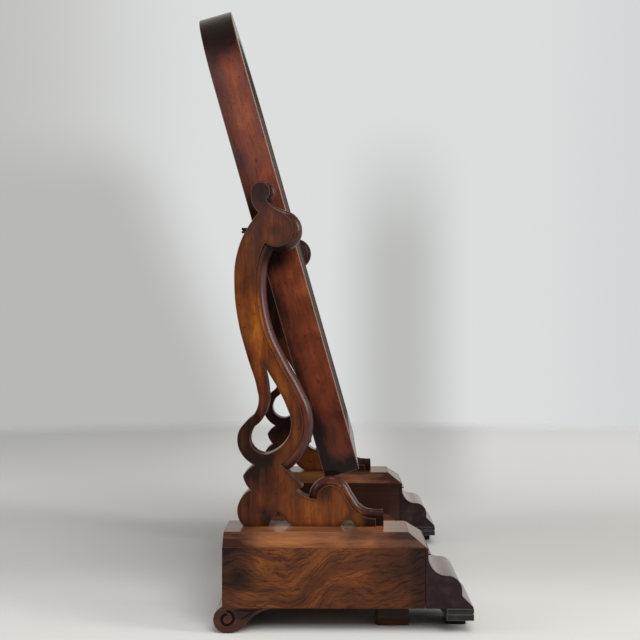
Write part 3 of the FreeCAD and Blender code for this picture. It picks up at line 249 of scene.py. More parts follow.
def flame(tree):
    """Veneer figure: lines that dip a little, sweep up across the middle and then rise gently."""
    where = object_place(tree)
    parts = split(tree, where)
    slow = spread(tree, noise(tree, where, 13.0, 1.0), 0.3, 0.7, -SLOW_WAVER, SLOW_WAVER)
    quick = spread(tree, noise(tree, where, 60.0, 3.0), 0.3, 0.7, -QUICK_WAVER, QUICK_WAVER)
    sweep = spread(tree, parts["Y"], SWEEP_START, SWEEP_END, 0.0, SWEEP_RISE)
    past_right = math_node(tree, "MULTIPLY_ADD", parts["Y"], -1.0, SWEEP_END)
    past_left = math_node(tree, "ADD", parts["Y"], -SWEEP_START)
    rise = math_node(tree, "MULTIPLY_ADD", math_node(tree, "MAXIMUM", past_right, 0.0),
                     RIGHT_SLOPE, sweep)
    rise = math_node(tree, "MULTIPLY_ADD", math_node(tree, "MAXIMUM", past_left, 0.0),
                     LEFT_SLOPE, rise)
    level = math_node(tree, "SUBTRACT", parts["Z"], rise)
    level = math_node(tree, "ADD", level, math_node(tree, "ADD", slow, quick))
    squeezed = product(tree, parts["Y"], FLAME_SQUEEZE)
    drawn = put(tree, "ShaderNodeCombineXYZ", {0: parts["X"], 1: squeezed, 2: level}).outputs[0]
    line = spread(tree, noise(tree, drawn, 430.0, 5.0, 0.7, 0.2), 0.36, 0.53)
    cloud = spread(tree, noise(tree, drawn, 60.0, 5.0, 0.6, 0.6), 0.28, 0.72)
    return math_node(tree, "MULTIPLY_ADD", cloud, 0.5, product(tree, line, 0.5))


def facing_in(tree):
    """1 on the frame's inner edges, which face the middle of the mirror."""
    found = put(tree, "ShaderNodeTexCoord").outputs
    inward = put(tree, "ShaderNodeVectorMath", {0: MIRROR_MIDDLE, 1: found["Object"]},
                 operation="SUBTRACT").outputs[0]
    return spread(tree, measured(tree, "DOT_PRODUCT", inward, found["Normal"]), 0.02, 0.06)


def lifted(tree, places, lift=0.0):
    """Adds to lift the amount of each place (y, z, inner, outer, amount)."""
    for y, z, inner, outer, amount in places:
        lift = math_node(tree, "MULTIPLY_ADD", near(tree, (y, z), inner, outer), amount, lift)
    return lift


def lift_of(tree, where, places, shaded, bands):
    """How much paler a wood is from place to place, or darker below 0, which in some woods paints
    shade.
    """
    lift = lifted(tree, places)
    if shaded:
        start, end, spots = shaded
        share = spread(tree, split(tree, where)["X"], start, end)
        lift = math_node(tree, "MULTIPLY_ADD", share, lifted(tree, spots), lift)
    for direction, start, end, amount in bands:
        share = spread(tree, measured(tree, "DOT_PRODUCT", where, direction), start, end)
        lift = math_node(tree, "MULTIPLY_ADD", share, amount, lift)
    return lift


def hazed(tree, where, colour, patch, haze):
    """Painted sheen between two heights, most of it in the dark patches: a greyer colour that stands
    in for reflected light.
    """
    tinge, low, high, amount = haze
    level = split(tree, where)["Z"]
    share = product(tree, spread(tree, level, low, low + SHEEN_RISE, 0.0, amount),
                    spread(tree, level, high, high - SHEEN_FALL))
    dim = math_node(tree, "SUBTRACT", 1.0, patch, clamp=True)
    return blend(tree, product(tree, share, dim), colour, tinge)


def side_face(tree):
    """1 on the faces that look to the object's left or right."""
    facing = put(tree, "ShaderNodeTexCoord").outputs["Normal"]
    sideways = math_node(tree, "ABSOLUTE", split(tree, facing)["X"])
    return spread(tree, sideways, 0.9, 0.985)


def wood(name, shades, along, turn=(0.0, 0.0, 0.0), mottle=11.0, drawn=3.0, lively=0.6, streaky=0.4,
         burnt=0.0, figured=False, places=(), shaded=None, bands=(), specks=0.0, haze=None, worn=0.0,
         rubbed=None, coat=1.0, gloss=0.1, rough=(0.34, 0.5), edge=None, edge_places=(), inner=None):
    """Polished wood with mottled colour, streaks and pores drawn out along the grain, and dark
    polish with painted shade gathered in its corners. Each place is (y, z, inner, outer, amount) and
    makes that part paler, or darker where amount is below 0; each band is (direction, start, end,
    amount) and does so from start to end along a direction; shaded is (start, end, places) for places
    that show only from start to end along X. burnt darkens the faces towards their arrises, specks
    are small dark pits, the sheen is (colour, low, high, amount) of a painted sheen between two
    heights, a greyer colour that stands in for reflected light, edge is the colour of what isn't a
    side face, with places of its own, and inner that of the frame's inner edges, with painted shade
    on their arrises. worn is how far the wood turns to a paler colour on its arrises, for wear and a
    painted highlight."""
    made, tree = blank(name)
    dark = shades[0]
    where = object_place(tree)
    wide = grain_space(tree, along, drawn, turn)
    fine = grain_space(tree, along, STREAK_STRETCH, turn)
    hair = grain_space(tree, along, PORE_STRETCH, turn)
    broad = noise(tree, wide, mottle, 6.0, 0.62, 0.5)
    patch = spread(tree, broad, 0.3, 0.7, 0.5 - lively / 2.0, 0.5 + lively / 2.0)
    streak = spread(tree, noise(tree, fine, STREAK_SCALE, 6.0, 0.62, 0.3), 0.3, 0.72)
    pore = spread(tree, noise(tree, hair, PORE_SCALE, 3.0, 0.6), 0.54, 0.7)
    lines = flame(tree) if figured else streak
    tone = math_node(tree, "MULTIPLY_ADD", lines, streaky, product(tree, patch, 1.0 - streaky))
    lift = lift_of(tree, where, places, shaded, bands)
    colour = ramp(tree, math_node(tree, "ADD", tone, lift), shades)
    if burnt:
        arris = occlusion(tree, BURNT_REACH, inside=True)
        colour = blend(tree, spread(tree, arris, 1.0, 0.5, 0.0, burnt), colour, dark)
    # Painted sheen: a greyer colour standing in for reflected light
    if haze:
        colour = hazed(tree, where, colour, patch, haze)
    shine, bend, clear = gloss, COAT_IOR, coat
    if edge:
        flat = side_face(tree)
        deep = math_node(tree, "MULTIPLY_ADD", lifted(tree, edge_places, lift), -1.0,
                         product(tree, streak, 0.5), clamp=True)
        colour = blend(tree, flat, blend(tree, deep, edge, dark), colour)
        shine = spread(tree, flat, 0.0, 1.0, EDGE_GLOSS, gloss)
        bend = spread(tree, flat, 0.0, 1.0, EDGE_IOR, COAT_IOR)
        edge_clear = spread(tree, deep, 0.25, 1.0, EDGE_COAT, DEEP_COAT)
        clear = spread(tree, flat, 0.0, 1.0, edge_clear, coat)
    if specks:
        pit = spread(tree, noise(tree, where, SPECK_SCALE, 3.0), 0.64, 0.73, 0.0, specks)
        colour = blend(tree, pit, colour, dark)
    colour = blend(tree, product(tree, pore, PORE_DARKNESS), colour, dark)
    # The arris copy turns paler: wear, and a painted highlight along the arris
    if worn:
        colour = blend(tree, worn, colour, rubbed or shades[-1])
    else:
        # Dark polish and painted shade where the piece closes in on itself
        corner = occlusion(tree, GRIME_AND_SHADE_REACH)
        colour = blend(tree, spread(tree, corner, 0.9, 0.45, 0.0, GRIME_AND_SHADE_SHARE), colour, GRIME_AND_SHADE)
    # The frame's inner edges: a greyer colour, and painted shade on their arrises
    if inner:
        inward = facing_in(tree)
        colour = blend(tree, inward, colour, GRIME_AND_SHADE if worn else inner)
        clear = spread(tree, inward, 0.0, 1.0, coat, coat * INNER_COAT)
    roughness = spread(tree, broad, 0.3, 0.7, rough[0], rough[1])
    height = math_node(tree, "MULTIPLY_ADD", pore, PORE_DEPTH, streak)
    polish(tree, colour, roughness, height, clear, shine, bend)
    return made


def pair(name, shades, along, rub=0.3, coat=1.0, **settings):
    """A wood, and the same wood made paler for its arrises, for wear and a painted highlight along
    them.
    """
    return (wood(name, shades, along, coat=coat, **settings),
            wood(name + "_arris", shades, along, worn=rub, coat=coat * ARRIS_COAT, **settings))


# Each wood's shades, and where it is darker or paler

FRAME_SHADES = tints((28, 16, 14), (76, 36, 26), (108, 52, 32), (150, 84, 50))
# The bands paint shade towards the frame's back and across the top of the arch, and make it darker
# towards its bottom
FRAME_BANDS = ((LEAN_BACK, -0.064, -0.044, -0.24), (LEAN_BACK, -0.052, -0.066, 0.12),
               (LEAN_UP, 0.18, 0.15, -0.5), (LEAN_UP, 0.3, 0.19, -0.36),
               (LEAN_UP, 0.645, 0.69, -0.26))
# Some places paint shade: across the top of the arch, and behind and under the head of the left
# support
FRAME_PLACES = ((0.175, 0.72, 0.03, 0.1, -0.9), (0.06, 0.47, 0.02, 0.06, -0.25),
                (0.06, 0.424, 0.006, 0.028, -0.4), (0.027, 0.358, 0.008, 0.03, -0.2),
                (0.107, 0.593, 0.006, 0.03, 0.12), (0.103, 0.537, 0.004, 0.018, -0.2))
# Its sheen is painted reflected light, and its pale arris tint is wear with a painted highlight
FRAME_WOOD = pair("frame_wood", FRAME_SHADES, "Z", turn=LEAN_TURN, lively=0.44, streaky=0.22,
                  mottle=44.0, drawn=1.8, rub=0.25, rubbed=tint(150, 120, 110), coat=0.5,
                  inner=tint(88, 78, 70), specks=0.5, haze=(tint(128, 92, 89), 0.45, 0.69, 0.45),
                  bands=FRAME_BANDS, places=FRAME_PLACES)

CARVED_SHADES = tints((33, 17, 11), (81, 40, 22), (112, 59, 25), (156, 87, 30))
CARVED_PLACES = ((0.0815, 0.325, 0.02, 0.08, 0.3), (0.003, 0.128, 0.014, 0.06, 0.27),
                 (0.088, 0.207, 0.02, 0.055, -0.45), (0.082, 0.15, 0.008, 0.075, -0.32),
                 (0.067, 0.141, 0.004, 0.017, 0.34), (0.0745, 0.4975, 0.006, 0.024, -0.42),
                 (-0.062, 0.114, 0.008, 0.028, -0.7), (0.05, 0.447, 0.02, 0.06, -0.08),
                 (0.003, 0.1502, 0.004, 0.018, -0.4), (0.075, 0.293, 0.006, 0.042, -0.24))
# The sheen is painted reflected light, the pale arris tint wear with a painted highlight, and the
# edge places paint shade on the bead under the head of the support
CARVED = {"places": CARVED_PLACES, "lively": 0.5, "streaky": 0.4, "mottle": 58.0, "drawn": 2.0,
          "burnt": 0.6, "gloss": 0.24, "coat": 0.5, "specks": 0.75, "rub": 0.28,
          "rubbed": tint(140, 94, 74), "haze": (tint(66, 54, 56), 0.36, 0.56, 0.8),
          "edge": tint(74, 34, 30), "edge_places": ((0.062, 0.43, 0.008, 0.03, -0.8),)}
CARVED_WOOD = pair("carved_wood", CARVED_SHADES, "Z", **CARVED)
# The mirror shades the inner face of the right upright
SHADE_START = 0.28
SHADE_END = 0.262
SHADED_PLACES = ((0.0905, 0.36, 0.03, 0.075, -0.6), (0.031, 0.454, 0.02, 0.045, -0.6))
SHADED_CARVED_WOOD = pair("carved_wood_shaded", CARVED_SHADES, "Z",
                          shaded=(SHADE_START, SHADE_END, SHADED_PLACES), **CARVED)

VENEER_SHADES = tints((26, 15, 12), (58, 32, 20), (90, 49, 26), (140, 80, 37))
VENEER_PLACES = ((0.056, 0.07, 0.008, 0.045, 0.06), (0.082, 0.036, 0.006, 0.03, 0.12),
                 (0.09, 0.06, 0.004, 0.02, -0.3), (0.114, 0.08, 0.012, 0.045, -0.4),
                 (-0.1, 0.06, 0.01, 0.09, -0.18))
VENEER = pair("figured_wood", VENEER_SHADES, "Y", rub=0.12, lively=0.7, streaky=0.62, mottle=16.0,
              drawn=1.8, figured=True, specks=0.5, coat=0.5, places=VENEER_PLACES,
              bands=((ALONG_Y, -0.088, -0.106, -0.24),))

TOP_SHADES = tints((50, 31, 23), (98, 60, 39), (132, 83, 50), (164, 108, 66))
TOP_PLACES = ((0.118, 0.1, 0.012, 0.055, -0.55), (-0.115, 0.1, 0.01, 0.06, -0.35),
              (0.02, 0.1, 0.02, 0.06, 0.04))
TOP_WOOD = pair("top_wood", TOP_SHADES, "Y", rub=0.1, coat=0.5, mottle=20.0, drawn=2.0, lively=0.8,
                streaky=0.3, specks=0.35, places=TOP_PLACES, bands=((ALONG_X, 0.0, 0.15, -0.25),))

INNER_SIDE_WOOD = pair("inner_side_wood", tints((24, 14, 12), (48, 28, 23), (72, 42, 31)), "Y",
                       streaky=0.3)
EBONISED = pair("ebonised_wood", tints((19, 12, 12), (37, 24, 23), (62, 44, 40)), "X", coat=0.75)
# The plinths' greyer shades paint a sheen, and their pale arris tint paints highlight lines along
# them
PLINTH_SHEEN_WOOD = pair("plinth_sheen_wood", tints((20, 19, 19), (39, 37, 36), (60, 58, 56)), "X", coat=0.75,
                   rubbed=tint(150, 148, 143))
# Its place paints shade into the hollow between the carved leaf and the box
FOOT_WOOD = pair("foot_wood", tints((30, 17, 14), (68, 40, 30), (106, 66, 48)), "Y", mottle=30.0,
                 specks=0.4, places=((0.088, 0.024, 0.006, 0.02, -0.35),))
CARVED_AND_SHADOW_LINE_LOOK = wood("carved_and_shadow_line", tints((20, 12, 11), (32, 20, 17), (46, 29, 24)), "Y", coat=0.3)
LINING = pair("lining_wood", tints((96, 66, 40), (150, 112, 72), (186, 148, 104)), "Y",
              drawn=14.0, mottle=30.0, coat=0.0, rough=(0.6, 0.8))
PINE_SHADES = tints((92, 64, 40), (142, 106, 70), (178, 140, 98))
PLAIN = {"drawn": 16.0, "mottle": 24.0, "streaky": 0.5, "coat": 0.0, "rough": (0.65, 0.85)}
PINE = pair("pine_wood", PINE_SHADES, "Z", **PLAIN)
BACKBOARD_WOOD = pair("backboard_wood", PINE_SHADES, "Z", turn=LEAN_TURN, lively=0.75, **PLAIN)


# Metals and the mirror plate

STAIN_SCALE = 220.0
STAIN_ROUGH = 0.25
SPOT_ROUGH = 0.3


def metal(name, colour, dull, roughness):
    """Old metal with dull and rougher stains."""
    made, tree = blank(name)
    stain = spread(tree, noise(tree, object_place(tree), STAIN_SCALE, 5.0, 0.6), 0.35, 0.7)
    shader = put(tree, "ShaderNodeBsdfPrincipled",
                 {"Base Color": blend(tree, stain, colour, dull), "Metallic": 1.0,
                  "Roughness": spread(tree, stain, 0.0, 1.0, roughness, roughness + STAIN_ROUGH)})
    put(tree, "ShaderNodeOutputMaterial", {"Surface": shader.outputs[0]})
    return made


def silvered():
    """Old mirror plate: bright silvering with small grey spots in cloudy groups."""
    made, tree = blank("silvered_plate")
    where = object_place(tree)
    spot = spread(tree, noise(tree, where, 160.0, 6.0, 0.7), 0.62, 0.72)
    group = spread(tree, noise(tree, where, 14.0, 3.0), 0.45, 0.75)
    worn = product(tree, spot, group)
    shader = put(tree, "ShaderNodeBsdfPrincipled",
                 {"Base Color": blend(tree, worn, tint(226, 229, 228), tint(120, 116, 106)),
                  "Metallic": 1.0,
                  "Roughness": spread(tree, worn, 0.0, 1.0, 0.0, SPOT_ROUGH)})
    put(tree, "ShaderNodeOutputMaterial", {"Surface": shader.outputs[0]})
    return made


BRASS = metal("aged_brass", tint(120, 92, 52), tint(60, 44, 28), 0.32)
STEEL = metal("dark_screw_steel", tint(92, 88, 84), tint(44, 40, 38), 0.4)
PLATE = silvered()

# The looks of the record's material slots, and of the nodes that differ from theirs
LOOKS = {"frame_mahogany": FRAME_WOOD, "carved_mahogany": CARVED_WOOD, "figured_veneer": VENEER,
         "polished_top": TOP_WOOD, "ebonised_mahogany": EBONISED, "foot_mahogany": FOOT_WOOD,
         "drawer_lining": LINING, "plain_pine": PINE, "silvered_glass": (PLATE, PLATE),
         "brass": (BRASS, BRASS), "dark_steel": (STEEL, STEEL)}
NODE_LOOKS = {"right_support": SHADED_CARVED_WOOD, "mirror_backboard": BACKBOARD_WOOD}
for side in SIDES:
    NODE_LOOKS[side + "box_inner_side"] = INNER_SIDE_WOOD
    NODE_LOOKS[side + "drawer_plinth"] = PLINTH_SHEEN_WOOD


# Softened copies of the wooden nodes

SHARP = math.radians(32.0)
CREASE = math.radians(30.0)
FLAT = math.radians(0.3)
WELD = 2e-6
WELD_CARVED = 2e-4
SAME_LEVEL = 1e-5
SIDE_AREA = 2e-4
SIDEWAYS = 0.999
SMALL_LOOP = 0.028
# How wide each kind of piece is rounded at its arrises
FRAME_ROUND = 0.0009
TOP_ROUND = 0.0008
CARVED_ROUND = 0.0007
TRIM_ROUND = 0.0006
DRAWER_ROUND = 0.0005
BOX_ROUND = 0.0004


def loops_of(edges):
    """Groups of edges that touch one another."""
    left = set(edges)
    while left:
        group = [left.pop()]
        for edge in group:
            for corner in edge.verts:
                for other in corner.link_edges:
                    if other in left:
                        left.remove(other)
                        group.append(other)
        yield group


def reach(edges):
    """How far a group of edges extends, from corner to corner of its box."""
    points = [corner.co for edge in edges for corner in edge.verts]
    low = Vector([min(p[i] for p in points) for i in range(3)])
    high = Vector([max(p[i] for p in points) for i in range(3)])
    return (high - low).length


def rounded(mesh, width, skip, faces_only):
    """Rounds the sharp arrises of a mesh, and gives the rounding the second material."""
    sides = {face for face in mesh.faces
             if abs(face.normal.x) > SIDEWAYS and face.calc_area() > SIDE_AREA}
    sharp = [edge for edge in mesh.edges
             if edge.is_manifold and edge.is_convex and edge.calc_face_angle() > SHARP
             and not (skip and skip(edge))
             and (not faces_only or any(face in sides for face in edge.link_faces))]
    chosen = [edge for group in loops_of(sharp) if reach(group) > SMALL_LOOP for edge in group]
    for face in mesh.faces:
        face.material_index = 0
    bmesh.ops.bevel(mesh, geom=chosen, offset=width, offset_type="OFFSET", segments=2, profile=0.5,
                    clamp_overlap=not faces_only, affect="EDGES", material=1)
    for face in mesh.faces:
        face.smooth = True
    for edge in mesh.edges:
        if edge.is_manifold and edge.calc_face_angle() > CREASE:
            edge.smooth = False


def softened(node, width, skip=None, faces_only=False):
    """A copy of a node with its arrises rounded and made paler, for wear and a painted highlight, as
    on an old polished piece.
    skip tells the edges to leave sharp, and faces_only rounds just the outlines of the flat
    sides, as on a carved piece."""
    source = NODES[node]
    slot_name = source.data.materials[0].name
    mesh = bmesh.new()
    mesh.from_mesh(source.data)
    bmesh.ops.remove_doubles(mesh, verts=mesh.verts, dist=WELD_CARVED if faces_only else WELD)
    bmesh.ops.dissolve_limit(mesh, angle_limit=FLAT, verts=mesh.verts, edges=mesh.edges)
    rounded(mesh, width, skip, faces_only)
    data = bpy.data.meshes.new(node + "_softened")
    mesh.to_mesh(data)
    mesh.free()
    if "custom_normal" in data.attributes:
        data.attributes.remove(data.attributes["custom_normal"])
    for look in NODE_LOOKS.get(node, LOOKS[slot_name]):
        data.materials.append(look)
    piece = bpy.data.objects.new(node + "_softened", data)
    bpy.context.scene.collection.objects.link(piece)
    piece.modifiers.new("even_shading", "WEIGHTED_NORMAL").keep_sharp = True
    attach(piece, BODY_OF[node])
    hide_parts(node)


def seam(node, highest):
    """Tells the edges at the leaning end of a frame member, where the next member carries on."""
    heights = [corner.co.dot(LEAN_UP) for corner in NODES[node].data.vertices]
    level = max(heights) if highest else min(heights)
    return lambda edge: all(abs(c.co.dot(LEAN_UP) - level) < SAME_LEVEL for c in edge.verts)


softened("mirror_left_stile", FRAME_ROUND, seam("mirror_left_stile", True))
softened("mirror_right_stile", FRAME_ROUND, seam("mirror_right_stile", True))
softened("mirror_arched_head", FRAME_ROUND, seam("mirror_arched_head", False))
softened("mirror_bottom_rail", TRIM_ROUND)
softened("mirror_backboard", TRIM_ROUND)
softened("centre_platform", TOP_ROUND)
for side in SIDES:
    softened(side + "support", CARVED_ROUND, faces_only=True)
    softened(side + "scroll_foot", CARVED_ROUND, faces_only=True)
    softened(side + "block_foot", TOP_ROUND)
    softened(side + "pad_foot", TRIM_ROUND)
    for part in ("box_outer_side", "box_inner_side", "box_back", "box_bottom"):
        softened(side + part, BOX_ROUND)
    softened(side + "box_top", TOP_ROUND)
    softened(side + "drawer_front", CARVED_ROUND)
    softened(side + "drawer_plinth", TRIM_ROUND)
    softened(side + "plinth_bracket", TRIM_ROUND)
    for part in ("drawer_inner_side", "drawer_outer_side", "drawer_back", "drawer_bottom"):
        softened(side + part, DRAWER_ROUND)


# Carved lines on the scroll feet, and a painted shadow line where each foot meets its box

# How far the outer faces of the feet lie from the middle
FOOT_FACE = 0.34
# A painted shadow line where each foot meets its box, drawn as a thin dark strip
FOOT_TOP_SHADOW = ((0.1, 0.0258, 0.3), (0.093, 0.0262, 1.0), (0.083, 0.0252, 0.9), (0.076, 0.0262, 0.7),
             (0.069, 0.0275, 0.2))
LEAF_VEIN = ((0.0935, 0.0158, 0.2), (0.0885, 0.018, 0.8), (0.0835, 0.0212, 1.0), (0.079, 0.024, 0.7),
             (0.0745, 0.0258, 0.2))
FOOT_TOP_SHADOW_THICK = 0.0011
LEAF_VEIN_THICK = 0.001
SPIRAL_THICK = 0.00095
SPIRAL_TIP = 0.4
GROOVE_DEPTH = 0.0013
# The middle of the foot's roll, and the radius of each half turn of its spiral
ROLL_Y = 0.1084
ROLL_Z = 0.0152
EYE = 0.0058
WIDE = 0.0076
STEPS = 8


def carved_and_shadow_line(name, face, points, thick):
    """A dark line on the outer face of a scroll foot: a carved line, and also the painted shadow line
    where the foot meets its box. Each point is (y, z, share of thick).
    """
    curve = bpy.data.curves.new(name, "CURVE")
    curve.dimensions = "3D"
    curve.bevel_depth = thick
    curve.bevel_resolution = 1
    curve.use_fill_caps = True
    line = curve.splines.new("NURBS")
    line.points.add(len(points) - 1)
    line.use_endpoint_u = True
    line.order_u = 3
    line.resolution_u = 5
    for spot, (y, z, share) in zip(line.points, points):
        spot.co = (face, y, z, 1.0)
        spot.radius = share
    holder = bpy.data.objects.new(name, curve)
    bpy.context.scene.collection.objects.link(holder)
    seen = holder.evaluated_get(bpy.context.evaluated_depsgraph_get())
    data = bpy.data.meshes.new_from_object(seen)
    bpy.data.objects.remove(holder)
    mesh = bmesh.new()
    mesh.from_mesh(data)
    bmesh.ops.remove_doubles(mesh, verts=mesh.verts, dist=WELD)
    mesh.to_mesh(data)
    mesh.free()
    data.materials.clear()
    data.materials.append(CARVED_AND_SHADOW_LINE_LOOK)
    piece = bpy.data.objects.new(name, data)
    bpy.context.scene.collection.objects.link(piece)
    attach(piece, "base")


def spiral():
    """A half turn round the eye of the roll, and a wider half turn back up its other side."""
    points = []
    for step in range(STEPS):
        turn = math.pi * step / STEPS
        share = 1.0 if step else SPIRAL_TIP
        points.append((ROLL_Y + EYE * math.sin(turn), ROLL_Z + EYE * math.cos(turn), share))
    wide_z = ROLL_Z - EYE + WIDE
    for step in range(STEPS + 1):
        turn = math.pi * step / STEPS
        share = 1.0 if step < STEPS else SPIRAL_TIP
        points.append((ROLL_Y - WIDE * math.sin(turn), wide_z - WIDE * math.cos(turn), share))
    return points


for side, face in (("left", -FOOT_FACE), ("right", FOOT_FACE)):
    groove_floor = face - math.copysign(GROOVE_DEPTH, face)
    carved_and_shadow_line(side + "_foot_top_shadow", face, FOOT_TOP_SHADOW, FOOT_TOP_SHADOW_THICK)
    carved_and_shadow_line(side + "_leaf_vein", face, LEAF_VEIN, LEAF_VEIN_THICK)
    carved_and_shadow_line(side + "_spiral", groove_floor, spiral(), SPIRAL_THICK)

# The nodes that still show get their looks on their own meshes
for node in NODES.values():
    if not node.hide_render:
        look = LOOKS[node.data.materials[0].name][0]
        node.data.materials[0] = look


# Floor, wall and world

FLOOR_RADIUS = 2.7
RIM_START = 0.8
EYE_PLACE = (-1.762, -0.012, 0.351)
# The far colours paint light and shade onto the floor, the dip colour paints shade, and the last a
# painted shadow
FLOOR_NEAR = tint(193, 192, 188)
FLOOR_CLOUD = tint(200, 199, 195)
FLOOR_FAR_LIT = tint(228, 227, 224)
FLOOR_FAR_LEFT_SHADE = tint(188, 187, 183)
FLOOR_DIP_SHADE = tint(166, 165, 161)
FLOOR_SHADE = tint(166, 165, 162)
WALL = tint(220, 222, 222)
WALL_LEFT = tint(192, 192, 189)
WALL_RIGHT = tint(210, 213, 213)
BROAD_SHADE = tint(184, 184, 181)
NARROW_SHADE = tint(188, 189, 187)
CEILING = tint(96, 94, 92)
BEHIND_CAMERA = tint(46, 44, 43)
ROOM_CEILING = tint(150, 153, 155)
DAYLIGHT = tint(236, 238, 240)
AMBER = (1.06, 0.95, 0.86, 1.0)


def floor_colour(tree, where):
    """Pale, with painted shade at the far left and round the object, painted light further off, and
    the wall's narrow shadow painted on over it towards the object."""
    place = split(tree, where)
    close = blend(tree, noise(tree, where, 2.2, 3.0), FLOOR_NEAR, FLOOR_CLOUD)
    far = blend(tree, spread(tree, place["Y"], -0.1, 0.5), FLOOR_FAR_LIT, FLOOR_FAR_LEFT_SHADE)
    colour = blend(tree, spread(tree, place["X"], 0.4, 2.1), close, far)
    dip_shade = product(tree, spread(tree, place["X"], -0.2, 0.1), spread(tree, place["X"], 1.0, 0.3))
    colour = blend(tree, product(tree, dip_shade, 0.5), colour, FLOOR_DIP_SHADE)
    bearing = math_node(tree, "DIVIDE", math_node(tree, "ADD", place["Y"], -EYE_PLACE[1]),
                        math_node(tree, "ADD", place["X"], -EYE_PLACE[0]))
    apart = math_node(tree, "ABSOLUTE", math_node(tree, "ADD", bearing, 0.064))
    narrow = product(tree, spread(tree, apart, 0.065, 0.006), spread(tree, place["X"], 0.3, 0.8))
    return blend(tree, product(tree, narrow, 0.6), colour, FLOOR_SHADE)


def floor():
    """A pale round floor whose rim fades into the wall."""
    mesh = bmesh.new()
    bmesh.ops.create_circle(mesh, cap_ends=True, segments=96, radius=FLOOR_RADIUS)
    data = bpy.data.meshes.new("studio_floor")
    mesh.to_mesh(data)
    mesh.free()
    made, tree = blank("studio_floor")
    where = object_place(tree)
    shader = put(tree, "ShaderNodeBsdfDiffuse",
                 {"Color": floor_colour(tree, where), "Roughness": 0.6})
    clear = put(tree, "ShaderNodeBsdfTransparent")
    fade = spread(tree, measured(tree, "LENGTH", where), FLOOR_RADIUS * RIM_START, FLOOR_RADIUS)
    mixed = put(tree, "ShaderNodeMixShader",
                {0: fade, 1: shader.outputs[0], 2: clear.outputs[0]})
    put(tree, "ShaderNodeOutputMaterial", {"Surface": mixed.outputs[0]})
    data.materials.append(made)
    piece = bpy.data.objects.new("studio_floor", data)
    bpy.context.scene.collection.objects.link(piece)


def wall_colour(sky, parts):
    """The pale wall, darker to its sides, with a broad soft shadow at the left and a narrow one
    beside the mirror."""
    wall = blend(sky, spread(sky, parts["Y"], 0.08, 0.27), WALL, WALL_LEFT)
    wall = blend(sky, spread(sky, parts["Y"], -0.13, -0.26), wall, WALL_RIGHT)
    ahead = spread(sky, parts["X"], 0.2, 0.7)
    slanted = math_node(sky, "MULTIPLY_ADD", parts["Z"], -0.45, parts["Y"])
    broad = product(sky, spread(sky, slanted, 0.06, 0.14), spread(sky, parts["Z"], 0.16, 0.09))
    wall = blend(sky, product(sky, broad, ahead), wall, BROAD_SHADE)
    apart = math_node(sky, "ABSOLUTE", math_node(sky, "ADD", parts["Y"], 0.05))
    narrow = product(sky, spread(sky, apart, 0.06, 0.004), spread(sky, parts["Z"], 0.17, 0.04))
    return blend(sky, product(sky, narrow, ahead), wall, NARROW_SHADE)


def mirrored_colour(sky, parts, wall, path):
    """What the polish mirrors is a little amber, and dark above and behind the camera. The mirror
    plate shows a pale room all round instead, a little darker towards the ceiling."""
    mirrored = blend(sky, spread(sky, parts["Z"], 0.3, 0.75), wall, CEILING)
    mirrored = blend(sky, spread(sky, parts["X"], 0.25, -0.35), mirrored, BEHIND_CAMERA)
    mirrored = blend(sky, 1.0, mirrored, AMBER, "MULTIPLY")
    room = blend(sky, spread(sky, parts["Z"], 0.05, 0.8), wall, ROOM_CEILING)
    return blend(sky, path["Is Singular Ray"], mirrored, room)


def dome_strength(sky, parts):
    """Light from all round, strongest from above, with some more on the side away from the camera."""
    far_side = product(sky, spread(sky, parts["X"], 0.2, 0.8), spread(sky, parts["Z"], 0.6, 0.1))
    above = spread(sky, parts["Z"], 0.0, 0.9, 0.14, 0.85)
    return math_node(sky, "MULTIPLY_ADD", far_side, 0.95, above)


def studio():
    """The world: the wall for the camera, what the object mirrors, and the light on it."""
    world = bpy.data.worlds.new("studio")
    bpy.context.scene.world = world
    world.use_nodes = True
    sky = world.node_tree
    sky.nodes.clear()
    parts = split(sky, put(sky, "ShaderNodeTexCoord").outputs["Generated"])
    path = put(sky, "ShaderNodeLightPath").outputs
    wall = wall_colour(sky, parts)
    shown = put(sky, "ShaderNodeBackground", {"Color": wall, "Strength": 1.0})
    gloss = put(sky, "ShaderNodeBackground",
                {"Color": mirrored_colour(sky, parts, wall, path), "Strength": 1.0})
    dome = put(sky, "ShaderNodeBackground",
               {"Color": DAYLIGHT, "Strength": dome_strength(sky, parts)})
    lit = put(sky, "ShaderNodeMixShader",
              {0: path["Is Glossy Ray"], 1: dome.outputs[0], 2: gloss.outputs[0]})
    seen = math_node(sky, "MAXIMUM", path["Is Camera Ray"], path["Is Transmission Ray"])
    both = put(sky, "ShaderNodeMixShader", {0: seen, 1: lit.outputs[0], 2: shown.outputs[0]})
    put(sky, "ShaderNodeOutputWorld", {"Surface": both.outputs[0]})


floor()
studio()


# Lights and camera

FADE = 0.25
FADED_SHARE = (1.0 - FADE) ** 2
WHITE = (1.0, 1.0, 1.0)
WARM = (1.0, 0.93, 0.87)


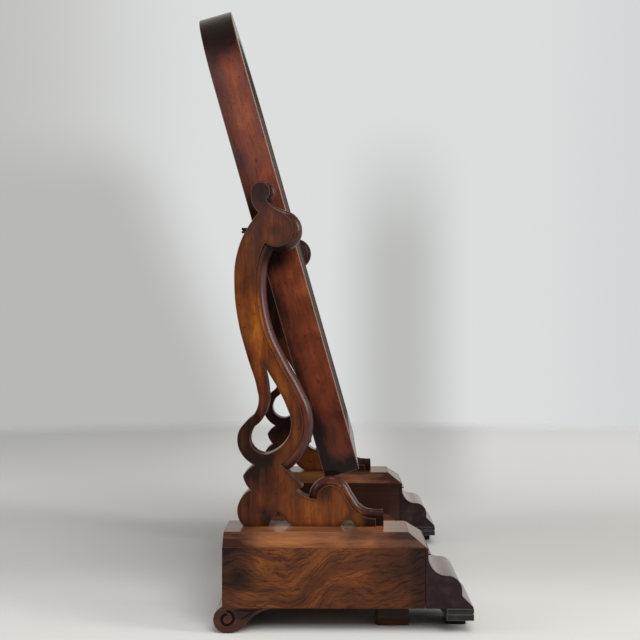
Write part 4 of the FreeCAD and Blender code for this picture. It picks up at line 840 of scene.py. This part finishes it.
def faded(light):
    """Lets a light fade towards its sides, so that no hard outline shows in the mirror plate."""
    light.use_nodes = True
    tree = light.node_tree
    tree.nodes.clear()
    sides = split(tree, put(tree, "ShaderNodeNewGeometry").outputs["Parametric"])
    strength = 1.0 / FADED_SHARE
    for axis in ("X", "Y"):
        off_middle = math_node(tree, "ABSOLUTE", math_node(tree, "ADD", sides[axis], -0.5))
        strength = product(tree, spread(tree, off_middle, 0.5, 0.5 - FADE), strength)
    glow = put(tree, "ShaderNodeEmission", {"Strength": strength})
    put(tree, "ShaderNodeOutputLight", {"Surface": glow.outputs[0]})


def softbox(name, place, aim, wide, tall, power, mirrored=True, colour=WHITE):
    """A flat light of wide by tall metres. One that isn't mirrored shows in no polish or glass."""
    light = bpy.data.lights.new(name, "AREA")
    light.shape = "RECTANGLE"
    light.size = wide
    light.size_y = tall
    light.energy = power
    light.color = colour
    lamp = bpy.data.objects.new(name, light)
    lamp.location = place
    lamp.rotation_euler = (Vector(aim) - Vector(place)).to_track_quat("-Z", "Y").to_euler()
    lamp.visible_glossy = mirrored
    bpy.context.scene.collection.objects.link(lamp)
    if mirrored:
        faded(light)


softbox("camera_side", place=(-2.2, -0.6, 1.9), aim=(0.0, 0.0, 0.3), wide=1.5, tall=1.5, power=42.0,
        mirrored=False)
softbox("front_window", place=(-0.9, -1.9, 1.1), aim=(0.0, 0.0, 0.35), wide=0.8, tall=1.5, power=21.0,
        colour=WARM)
softbox("overhead", place=(-0.3, -0.25, 2.2), aim=(0.0, 0.0, 0.2), wide=0.45, tall=0.45, power=2.6)
softbox("back_fill", place=(-0.8, 2.0, 1.2), aim=(0.0, 0.0, 0.35), wide=0.8, tall=1.2, power=9.0)

# The camera stands where the lines of the photograph lead. Lines along X run together at the
# vanishing pixel, a little off the picture's middle.
PICTURE = 640.0
FOCAL_PIXELS = 1280.0
VANISHING_X = 335.0
VANISHING_Y = 318.0
SENSOR = 36.0
CLIP_START = 0.05
aim = Vector((FOCAL_PIXELS, VANISHING_X - PICTURE / 2.0, VANISHING_Y - PICTURE / 2.0))
eye = bpy.data.cameras.new("camera")
eye.sensor_width = SENSOR
eye.lens = SENSOR * FOCAL_PIXELS / PICTURE
eye.clip_start = CLIP_START
camera = bpy.data.objects.new("camera", eye)
camera.location = EYE_PLACE
camera.rotation_euler = aim.to_track_quat("-Z", "Y").to_euler()
bpy.context.scene.collection.objects.link(camera)
bpy.context.scene.camera = camera
bpy.context.scene.view_settings.view_transform = "Standard"
